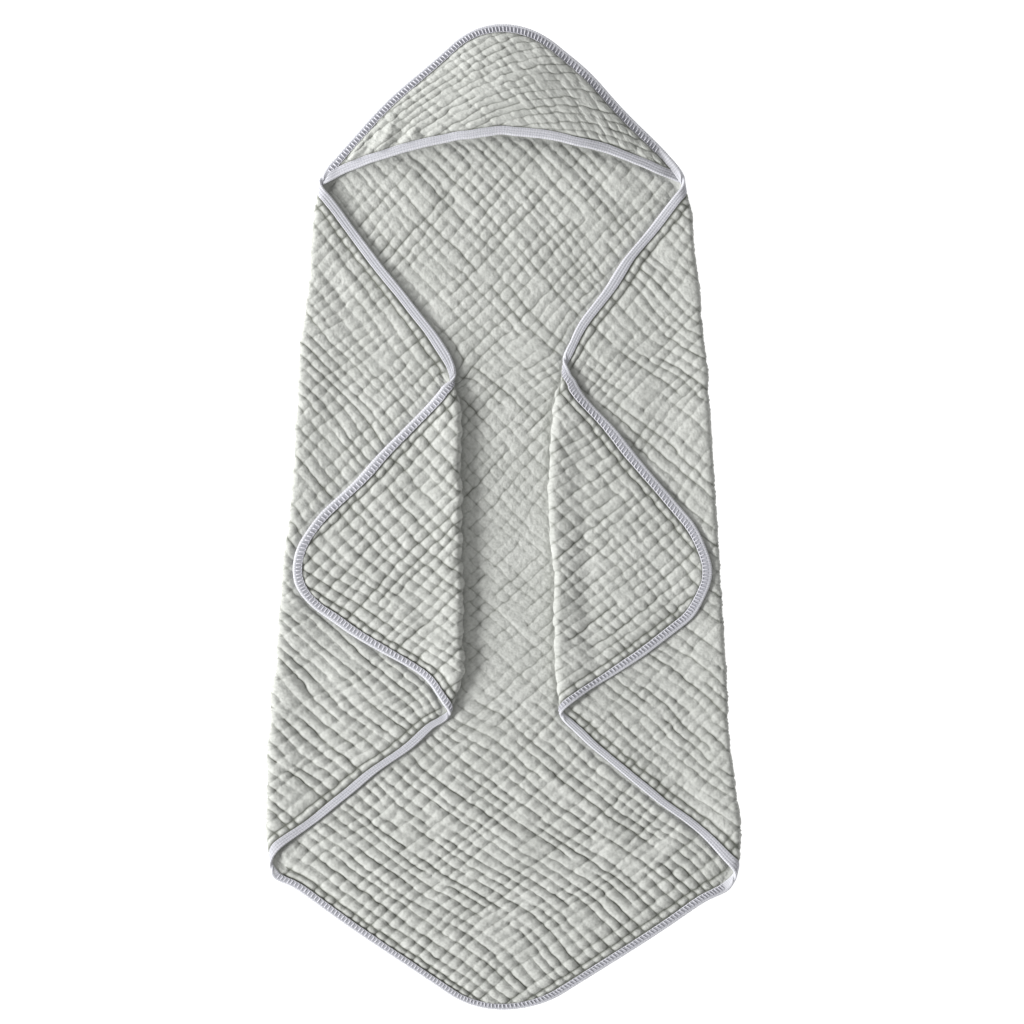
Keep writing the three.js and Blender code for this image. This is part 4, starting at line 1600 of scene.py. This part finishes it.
@dataclass
class HoodPanel(Piece):
    """The triangular hood, which lies over the top corner."""

    lay: TowelLay
    front: HoodFront = HoodFront()
    middle: float = 4.1                    # middle of its cloth over the floor, at its outer edge
    rise: float = 12.2                     # how far it domes
    slope_lengths: tuple = (98.0, 72.0)    # how far in it rises from its left edge and from its right
    core: float = 0.65
    puff: float = 2.75
    cross_strength: float = 0.62
    sweep_strength: float = 1.0
    name: str = "hood_panel"
    slot: str = "muslin"
    nodes: tuple = ("hood_panel",)
    sweep_slopes: tuple = ((-200, 0.95), (-100, 0.80), (-20, 0.47), (45, 0.15), (100, -0.18), (180, -0.50))
    cross_slopes: tuple = ((-200, 0.80), (-60, 0.90), (60, 1.25), (130, 1.9), (200, 2.6))

    def __post_init__(self) -> None:
        """Integrates the slopes of the two crease families."""
        self.grid_x = np.arange(-230.0, 231.0, 2.0)
        self.sweep = self.integral(self.sweep_slopes)
        self.cross = self.integral(self.cross_slopes)
        laid = self.lay.place(*EdgePath(3.0).inside(0.0), 0.0)
        top = laid.at[(laid.at[:, 1] > 200) & (laid.turn < 0.5)]
        top = top[np.argsort(top[:, 0])]
        self.edge = np.concatenate([top[:1] + [-40, -40, 0], top, top[-1:] + [40, -40, 0]])

    def integral(self, slopes: tuple) -> Array:
        """Adds slopes up to a curve.

        Args:
            slopes: Places across the hood, each with the slope there.

        Returns:
            The curve at every place of grid_x, 0 in the middle.
        """
        xs, values = zip(*slopes)
        slope = np.interp(self.grid_x, xs, values)
        curve = np.concatenate([[0.0], np.cumsum((slope[1:] + slope[:-1]) / 2 * 2.0)])
        return curve - np.interp(0.0, self.grid_x, curve)

    def outer_inset(self, x: Array, y: Array) -> Array:
        """Rough distance in from the towel's outer edge.

        Args:
            x, y: Places on the plan.

        Returns:
            Distances, negative outside.
        """
        edge_x, edge_y = self.edge[:, 0], self.edge[:, 1]
        level, ahead = (np.interp(place, edge_x, edge_y, left=-999, right=-999) for place in (x, x + 1.0))
        slope = np.clip(np.abs(ahead - level), 0, 3)
        return (level - y) / np.hypot(1.0, slope)

    def front_inset(self, x: Array, y: Array) -> Array:
        """Rough distance in from the front edge.

        Args:
            x, y: Places on the plan.

        Returns:
            Distances, negative in front of it.
        """
        here_x, here_y = self.lay.uncentred(x, y)
        level = self.front.level(here_x)
        slope = self.front.level(here_x + 0.5) - self.front.level(here_x - 0.5)
        return (here_y - level) / np.hypot(1.0, slope)

    def plan_points(self) -> Array:
        """Points all over the hood's plan."""
        x, y = np.meshgrid(np.arange(-230, 231, 3.0), np.arange(300, 560, 3.0), indexing="ij")
        inside = (self.outer_inset(x, y) > 0) & (self.front_inset(x, y) > 0)
        return np.stack([x[inside], y[inside], np.zeros(inside.sum())], -1)

    def level(self, x: Array, y: Array) -> Array:
        """How high the hood's cloth stands.

        Args:
            x, y: Places on the plan.

        Returns:
            Heights of its middle over the floor.
        """
        length = lerp(*self.slope_lengths, smoothstep(-60.0, 60.0, x))
        part = np.clip((self.outer_inset(x, y) - 7.0) / length, 0.0, 1.0)
        return self.middle + self.rise * (1.0 - (1.0 - part) ** 1.7)

    def strengths(self, first: Array, second: Array) -> tuple:
        """Strengths of its cross creases and of its sweep creases."""
        place = first + second
        return np.full_like(place, self.cross_strength), np.full_like(place, self.sweep_strength)

    def build(self) -> bpy.types.Object:
        """Makes the hood's closed wall of cloth."""
        settings = {"rims": (), "shared_wander": 3.5, "own_wander": 0.8, "fade": 0.02, "unevenness": 0.09}
        cross = CreaseFamily(83, 100.0, 800.0, pitch=14.5, brick=4.5, scallop=1.5, streak=0.14, **settings)
        sweep = CreaseFamily(97, 180.0, 620.0, pitch=8.5, brick=1.6, scallop=1.6, streak=0.10, **settings)
        crinkle = Crinkle(cross, sweep, self.strengths, sharp=5.0)
        total = self.sweep + self.cross
        x = np.interp(crinkle.a - crinkle.b, total, self.grid_x)
        y = crinkle.b + np.interp(x, self.grid_x, self.sweep)
        ends = np.minimum(x - self.edge[1, 0], self.edge[-2, 0] - x)
        margin = np.minimum(np.minimum(self.outer_inset(x, y), self.front_inset(x, y)) - 2.0, ends)
        in_a, in_b = crinkle.valleys()
        height = self.puff * dome(in_a, in_b) * (1.0 + 0.22 * soft_noise(x, y, 14.0, 211))
        height = height + 0.2 * soft_noise(x, y, 6.0, 212)
        free = smoothstep(5.5, 11.0, margin)
        main = creases_height(Layer.HOOD, *self.lay.uncentred(x, y))
        level = self.level(x, y) + (self.lay.wave(x, y) * 0.8 + main) * free
        front = np.stack([x, y, level + self.core + height * free], -1)
        back = np.stack([x, y, level - self.core - 0.25 * height * free], -1)
        # How deep in a crease each point is, which the muslin paints as shade.
        hollow = lerp(1.0, 0.92 * hollow_of(in_a, in_b), smoothstep(7.0, 10.0, margin))
        cut = np.stack([crinkle.a, crinkle.b], -1)
        return drop_loose(self.closed(cut, front, back, margin > 0, hollow)).build(self.name)

    def closed(self, cut: Array, front: Array, back: Array, inside: Array, hollow: Array) -> MeshParts:
        """Closes the part of both surfaces that lies inside the hood's edges.

        Args:
            cut: Places of the net's points on the flat cloth.
            front: The net's points on the upper surface.
            back: And on the lower one.
            inside: Whether each is inside the edges.
            hollow: How deep in a crease each is.

        Returns:
            The closed wall of cloth.
        """
        rows = front.shape[1]
        near = inside[:-1, :-1] & inside[1:, :-1] & inside[:-1, 1:] & inside[1:, 1:]
        count, front_faces = front[..., 0].size, grid_quads(*np.nonzero(near), rows)
        if self.signed_area(front, front_faces[0], rows) < 0:
            front_faces = [tuple(reversed(face)) for face in front_faces]
        back_faces = [tuple(c + count for c in reversed(face)) for face in front_faces]
        faces = front_faces + back_faces + rim_faces(front_faces, count)
        points = np.concatenate([front.reshape(-1, 3), back.reshape(-1, 3)])
        # The hollow attribute drives the painted shade in the muslin's creases.
        values = {"hollow": np.tile(hollow.ravel(), 2)}
        return MeshParts(points, faces, values, np.tile(cut.reshape(-1, 2), (2, 1)))

    @staticmethod
    def signed_area(grid: Array, face: tuple, rows: int) -> float:
        """Positive if a face is anticlockwise on the plan."""
        x, y = (np.array([grid[c // rows, c % rows, axis] for c in face]) for axis in (0, 1))
        return float(np.sum(x * np.roll(y, -1) - y * np.roll(x, -1)))


# ---- Bindings and stitches ----


@dataclass(frozen=True)
class TapeProfile:
    """Section of a tape folded over an edge: insets from its rim and heights over the cloth."""

    half: float = TAPE_HALF
    needle_insets: tuple = (2.9, 5.6, 8.0)

    def groove_shade(self, insets: Array) -> Array:
        """Painted shade on the tape at insets where the needle lines pull it down, and beside them."""
        near = np.min([np.abs(insets - needle) for needle in self.needle_insets], axis=0)
        return np.where(near < 0.1, 0.9, np.where(near < 0.6, 0.32, 0.0))

    def front(self) -> list:
        """From the rim to the inner edge, on the side with the looper threads."""
        return [(0.0, 0.0), (0.25, 0.55), (0.9, 0.86), (2.0, 0.99), (3.4, 1.0), (4.4, 0.94),
                (6.2, 0.90), (8.0, 0.90), (9.0, 0.88), (9.5, 0.70), (9.4, 0.48)]

    def back(self) -> list:
        """From the rim to the inner edge, on the side with the needle lines."""
        return [(0.25, 0.55), (0.8, 0.86), (1.7, 0.98), (2.4, 0.96), (2.9, 0.80), (3.4, 0.96), (5.1, 0.98),
                (5.6, 0.76), (6.1, 0.96), (7.5, 0.97), (8.0, 0.74), (8.5, 0.93), (9.2, 0.85), (9.4, 0.48)]

    def outline(self, top: list) -> Array:
        """The whole section, from the rim over the top, round the cloth's edge and back below it."""
        fold = CLOTH_INSET + 0.4
        return np.array(top + [(fold, 0.5), (fold, -0.5)] + [(d, -h) for d, h in reversed(self.back())])

    def uneven(self, run: Array, seed: int) -> Array:
        """Half the tape's thickness along it."""
        return self.half * (1.0 + 0.05 * soft_noise(run, run * 0, 15.0, seed))


class StitchSide(Enum):
    """Which side of a tape a row of stitches shows on."""

    FRONT = 1
    BACK = -1


def thread_tubes(points: Array, outward: bool, length: Array, turns: float) -> MeshParts:
    """Closed tubes of thread.

    Args:
        points: Points by stitch, ring and place round the ring.
        outward: Whether the rings turn so that plain tube faces look outward.
        length: Where each ring is along its stitch, for the thread's twist.
        turns: How far the twist's pattern runs once round.

    Returns:
        All the tubes as one mesh.
    """
    stitches, rings, sides = points.shape[:3]
    plain = tube_faces(rings, sides, False)
    faces = plain if outward else [tuple(reversed(face)) for face in plain]
    size = rings * sides
    made = [tuple(number * size + c for c in face) for number in range(stitches) for face in faces]
    along = np.broadcast_to(np.reshape(length, (1, -1, 1)), points.shape[:-1])
    around = np.broadcast_to(np.arange(sides) / sides * turns, points.shape[:-1])
    return MeshParts(points.reshape(-1, 3), made, {}, np.stack([along, around], -1).reshape(-1, 2))


def swept_tape(surface: Callable, run: Array, outline: Array, around: Array, painted_stitch_shade: Array,
               closed: bool) -> MeshParts:
    """Sweeps a tape's section along it.

    Args:
        surface: Gives the tape's points from places along it, insets and heights.
        run: Where the sections stand.
        outline: The section's insets and heights.
        around: Where its points are across the flat tape.
        painted_stitch_shade: How much painted shade each point has, or each point of every section.
        closed: Whether its end joins its start.

    Returns:
        The tape as one mesh.
    """
    points = np.stack([surface(run, inset, height) for inset, height in outline], 1)
    shape = points.shape[:2]
    cut = np.stack(np.broadcast_arrays(run[:, None], around[None, :]), -1)
    return MeshParts(points.reshape(-1, 3), tube_faces(*shape, closed),
                     {"painted_stitch_shade": np.broadcast_to(painted_stitch_shade, shape).ravel()}, cut.reshape(-1, 2))


def needle_rows(surface: Callable, first: Array, pitch: float, side: StitchSide) -> MeshParts:
    """Rows of short straight stitches at a tape's needle insets, each a little out of step.

    Args:
        surface: Gives the tape's points from places along it, insets and heights.
        first: Where the stitches start.
        pitch: From one stitch to the next.
        side: The side of the tape that they show on.

    Returns:
        The rows as one mesh.
    """
    sides, shift = 5, 0.7
    parts = np.array([0.0, 0.25, 0.75, 1.0])
    thick = np.array([0.4, 1.0, 1.0, 0.4])[None, :, None] * 0.22
    dips = np.array([-0.12, 0.02, 0.02, -0.12])[None, :, None]
    angles = np.arange(sides) * 2 * math.pi / sides
    rows = []
    for number, inset in enumerate(TapeProfile.needle_insets):
        run = ((first + number * shift)[:, None] + parts * (pitch * 0.72))[..., None] + 0.0 * angles
        around = inset + thick * np.cos(angles) + 0.0 * run
        height = side.value * (0.80 + dips + 0.5 * thick * np.sin(angles)) + 0.0 * run
        points = surface(run, around, height)
        rows.append(thread_tubes(points, side is StitchSide.BACK, parts * 4.0, 2.0))
    return join_parts(rows)


@dataclass(frozen=True)
class PlainCorner:
    """A place where the tape turns with no ladder on it."""

    place: str
    x: float
    y: float
    reach: float

    def laddered(self, x: Array, y: Array) -> Array:
        """0 near it to 1 away from it."""
        return smoothstep(self.reach - 3.0, self.reach + 3.0, np.hypot(x - self.x, y - self.y))


PLAIN_CORNERS = (
    PlainCorner("left hood corner", -186, 351, 9),
    PlainCorner("right hood corner", 175, 359, 27),
    PlainCorner("left foot", -239, -360, 14),
    PlainCorner("right foot", 243, -374, 17),
)


@dataclass
class EdgeTape:
    """A tape's own coordinates: along the towel's cut edge, in from it and off the cloth."""

    lay: TowelLay
    step: float = 1.7
    profile: TapeProfile = TapeProfile()

    def __post_init__(self) -> None:
        """Makes the path that the tape follows."""
        self.path = EdgePath(self.step)

    def stitch_starts(self, pitch: float) -> tuple:
        """Where stitches start all round, and the pitch nearest to the wanted one that closes the row."""
        count = int(round(self.path.length / pitch))
        return np.arange(count) * (self.path.length / count), self.path.length / count

    def hooded(self, laid: Laid) -> Array:
        """1 where the tape also takes the hood, 0 elsewhere."""
        return smoothstep(326.0, 350.0, laid.at[..., 1]) * (1.0 - np.clip(laid.turn * 1.2, 0, 1))

    def laddered(self, run: Array) -> Array:
        """Where the ladder of looper threads crosses the tape.

        Args:
            run: Distances along the cut edge.

        Returns:
            1 where it does, 0 at the plain corners.
        """
        at = self.lay.place(*self.path.at(run, 4.0), 4.0).at
        x, y = self.lay.uncentred(at[..., 0], at[..., 1])
        return np.prod([corner.laddered(x, y) for corner in PLAIN_CORNERS], axis=0)

    def surface(self, run: Array, inset: Array, height: Array) -> Array:
        """Points of the tape.

        Args:
            run: Distances along the cut edge.
            inset: Distances in from the edge.
            height: Heights off the middle of the cloth, as shares of the half thickness.

        Returns:
            Points in millimetres.
        """
        run, inset, height = np.broadcast_arrays(run, inset, height)
        wobble = 1.0 + 0.035 * soft_noise(run, inset * 0, 23.0, 301)
        drawn = TAPE_REACH - (TAPE_REACH - inset * wobble) * tape_width(*self.path.at(run, 0.0))
        u, v = self.path.at(run, drawn)
        laid = self.lay.place(u, v, np.minimum(inset, TAPE_REACH))
        thick = self.profile.uneven(run, 302) + np.where(height > 0, HOOD_RISE * self.hooded(laid), 0.0)
        points = laid.at + laid.front * (height * thick)[..., None]
        return np.maximum(points, [-1e9, -1e9, 0.0])


@dataclass
class EdgeBinding(Piece):
    """The folded tape all round the body."""

    tape: EdgeTape
    ladder_insets: tuple = (3.2, 9.2)
    ladder_shade: float = 0.85    # painted shade on the tape under the ladder
    name: str = "edge_binding"
    nodes: tuple = ("edge_binding",)

    def build(self) -> bpy.types.Object:
        """Sweeps the tape's section round the edge."""
        profile, run = self.tape.profile, self.tape.path.run
        outline = profile.outline(profile.front())
        insets, front = outline[:, 0], outline[:, 1] > 0
        low, high = self.ladder_insets
        # Painted shade under the ladder on the front, and in the needle grooves on the back.
        ladder = np.where((insets > low) & (insets < high), self.ladder_shade, 0.0)
        ladder = ladder * self.tape.laddered(run)[:, None]
        painted_stitch_shade = np.where(front, ladder, profile.groove_shade(insets))
        around = insets * np.where(front, 1, -1)
        return swept_tape(self.tape.surface, run, outline, around, painted_stitch_shade, True).build(self.name)


@dataclass
class LadderStitches(Piece):
    """Looper threads laid across the front of the binding, two strands a stitch."""

    tape: EdgeTape
    pitch: float = 4.1
    inner: float = 9.3
    outer: float = 3.4
    sides: int = 6
    name: str = "ladder_stitches"

    def build(self) -> bpy.types.Object:
        """Makes all the strands as one mesh."""
        first, pitch = self.tape.stitch_starts(self.pitch)
        uneven = np.random.default_rng(401).uniform(-0.25, 0.25, (len(first), 3))
        there = self.tape.laddered(first) > 0.5
        first, uneven = first[there], uneven[there]
        rungs = self.strand((first + uneven[:, 0], first + 0.9 + uneven[:, 2]),
                            (self.inner, self.outer + uneven[:, 1]), 0.68)
        links = self.strand((first + 0.3, first + pitch - 0.1), (self.inner - 0.3, self.inner - 0.6), 0.36)
        return join_parts([rungs, links]).build(self.name)

    def strand(self, runs: tuple, insets: tuple, radius: float) -> MeshParts:
        """One strand of every stitch, as a tube that dips at its ends.

        Args:
            runs: Where the strands start and end along the tape.
            insets: Where they start and end across it.
            radius: Half the strand's width.

        Returns:
            The strands as one mesh.
        """
        parts = np.linspace(0.0, 1.0, 5)
        dips = np.array([-0.10, 0.10, 0.16, 0.10, -0.10])
        start, end = (value[:, None] for value in runs)
        run = lerp(start, end, parts)
        start, end = (np.broadcast_to(np.reshape(value, (-1, 1)), (len(run), 1)) for value in insets)
        inset = lerp(start, end, parts)
        angles = np.arange(self.sides) * 2 * math.pi / self.sides
        slant = np.arctan2(np.diff(inset[:, [0, -1]]), np.diff(run[:, [0, -1]]))
        side_run, side_inset = -np.sin(slant), np.cos(slant)
        round_run = run[..., None] + radius * side_run[..., None] * np.cos(angles)
        round_inset = inset[..., None] + radius * side_inset[..., None] * np.cos(angles)
        height = 0.95 + dips[None, :, None] + radius * 0.45 * np.sin(angles)
        points = self.tape.surface(round_run, round_inset, height)
        return thread_tubes(points, False, parts * 5.0, 3.0)


@dataclass
class NeedleStitches(Piece):
    """Straight rows of short stitches along the back of the binding."""

    tape: EdgeTape
    pitch: float = 3.4
    name: str = "needle_stitches"

    def build(self) -> bpy.types.Object:
        """Makes all the rows as one mesh."""
        starts = self.tape.stitch_starts(self.pitch)
        return needle_rows(self.tape.surface, *starts, StitchSide.BACK).build(self.name)


@dataclass
class HoodBinding(Piece):
    """The tape along the hood's front edge."""

    hood: HoodPanel
    step: float = 1.7
    profile: TapeProfile = TapeProfile()
    corner_left: float = -188.0
    corner_right: float = 185.0
    left_slant: float = 1.5     # how its left end is cut to follow the edge binding
    left_over: float = 1.5      # rise of its left end over the edge binding
    right_under: float = 1.4    # fall of its right end under it
    name: str = "hood_binding"
    nodes: tuple = ("hood_binding",)

    def surface(self, across: Array, inset: Array, height: Array) -> Array:
        """Points of the tape.

        Args:
            across: Places across the hood.
            inset: Distances in from its front edge.
            height: Heights off its cloth, as shares of the half thickness.

        Returns:
            Points in millimetres.
        """
        across, inset, height = np.broadcast_arrays(across, inset, height)
        front, shift = self.hood.front, self.hood.lay.shift
        x = across + self.left_slant * inset * (1.0 - smoothstep(0.0, 26.0, across - self.corner_left))
        level = front.level(x)
        slope = (front.level(x + 1.0) - front.level(x - 1.0)) / 2.0
        length = np.hypot(1.0, slope)
        inset = inset * (1.0 + 0.04 * soft_noise(across, inset * 0, 21.0, 311))
        px, py = x - slope / length * inset, level + inset / length
        at_x, at_y = px - shift[0], py - shift[1]
        z = self.hood.level(at_x, at_y) + self.hood.lay.wave(at_x, at_y) * 0.5
        z = z + self.left_over * smoothstep(-166.0, -180.0, x)
        z = z - self.right_under * smoothstep(164.0, 178.0, x)
        outside = np.clip(1.5 - self.hood.outer_inset(at_x, at_y), 0.0, 8.0)
        at_x = at_x - np.sign(at_x) * outside * 0.7
        return np.stack([at_x, at_y, z + height * self.profile.uneven(across, 312)], -1)

    def build(self) -> bpy.types.Object:
        """Sweeps the tape's section along the front edge."""
        outline = self.profile.outline([(0.0, 0.0)] + self.profile.back())
        run = np.arange(self.corner_left, self.corner_right + 0.1, self.step)
        # Painted shade in the needle grooves.
        shade = self.profile.groove_shade(outline[:, 0])
        return swept_tape(self.surface, run, outline, outline[:, 0], shade, False).build(self.name)


@dataclass
class HoodStitches(Piece):
    """Straight rows of short stitches on top of the hood's tape."""

    tape: HoodBinding
    pitch: float = 3.4
    name: str = "hood_stitches"

    def build(self) -> bpy.types.Object:
        """Makes all the rows as one mesh."""
        first = np.arange(self.tape.corner_left + 3.0, self.tape.corner_right - 6.0, self.pitch)
        return needle_rows(self.tape.surface, first, self.pitch, StitchSide.FRONT).build(self.name)


# ---- Studio ----


@dataclass(frozen=True)
class SoftLight:
    """A large soft light that points at the middle of the towel."""

    name: str
    place: tuple
    size: float
    power: float
    color: tuple = (1.0, 1.0, 1.0)

    def build(self) -> bpy.types.Object:
        """Makes the light."""
        data = bpy.data.lights.new(self.name, "AREA")
        data.shape, data.size, data.energy, data.color = "DISK", self.size, self.power, self.color
        light = bpy.data.objects.new(self.name, data)
        light.location = self.place
        light.rotation_euler = (-Vector(self.place)).to_track_quat("-Z", "Y").to_euler()
        bpy.context.scene.collection.objects.link(light)
        return light


@dataclass(frozen=True)
class Studio:
    """A white floor, soft light from the left and a camera straight above."""

    view_width: float = 1.0667
    lens: float = 100.0
    sensor: float = 36.0
    floor_size: float = 8.0
    sky: float = 0.445
    true_level: float = 0.006    # the level that is in true scale, in metres
    lights: tuple = (
        SoftLight("key_light", (-4.4, -1.45, 2.35), 1.6, 338.0),
        SoftLight("top_light", (-1.15, 1.25, 0.42), 0.5, 12.0),
    )

    def build(self, middle: tuple) -> None:
        """Makes the floor, lights, sky and camera.

        Args:
            middle: Where the camera looks on the floor plan, in metres.
        """
        self.floor()
        for light in self.lights:
            light.build()
        world = bpy.data.worlds.new("studio")
        world.use_nodes = True
        background = world.node_tree.nodes["Background"]
        background.inputs["Color"].default_value = (1.0, 1.0, 1.0, 1.0)
        background.inputs["Strength"].default_value = self.sky
        bpy.context.scene.world = world
        bpy.context.scene.view_settings.view_transform = "Standard"
        data = bpy.data.cameras.new("camera")
        data.lens, data.sensor_width = self.lens, self.sensor
        camera = bpy.data.objects.new("camera", data)
        camera.location = (*middle, self.true_level + self.view_width * self.lens / self.sensor)
        bpy.context.scene.collection.objects.link(camera)
        bpy.context.scene.camera = camera

    def floor(self) -> bpy.types.Object:
        """Makes the floor just under the towel."""
        half, below = self.floor_size / 2, -0.0002
        mesh = bpy.data.meshes.new("floor")
        corners = [(-half, -half, below), (half, -half, below), (half, half, below), (-half, half, below)]
        mesh.from_pydata(corners, [], [(0, 1, 2, 3)])
        floor = bpy.data.objects.new("floor", mesh)
        floor.data.materials.append(FloorFinish().material())
        bpy.context.scene.collection.objects.link(floor)
        return floor


# ---- The towel ----


def write_sizes() -> None:
    """Updates the view layer."""
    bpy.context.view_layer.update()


def main() -> None:
    """Builds and dresses every piece in order and sets up the studio."""
    logging.basicConfig(level=logging.INFO, format="%(message)s")
    lay = TowelLay()
    log.info("shift of the plan: %.2f, %.2f mm", *lay.shift)
    hood = HoodPanel(lay)
    tape = EdgeTape(lay)
    hood_tape = HoodBinding(hood)
    muslin, knit, thread = MuslinFinish().material(), TapeFinish().material(), ThreadFinish().material()
    body = TowelBody(lay, hood).dressed(muslin)
    panel = hood.dressed(muslin)
    binding = EdgeBinding(tape).dressed(knit)
    front_binding = hood_tape.dressed(knit)
    ladder = LadderStitches(tape).dressed(thread)
    needle = NeedleStitches(tape).dressed(thread)
    hood_needle = HoodStitches(hood_tape).dressed(thread)
    Studio().build(tuple((np.array(VIEW_MIDDLE) - lay.shift) * MM))
    write_sizes()


if __name__ == "__main__":
    main()
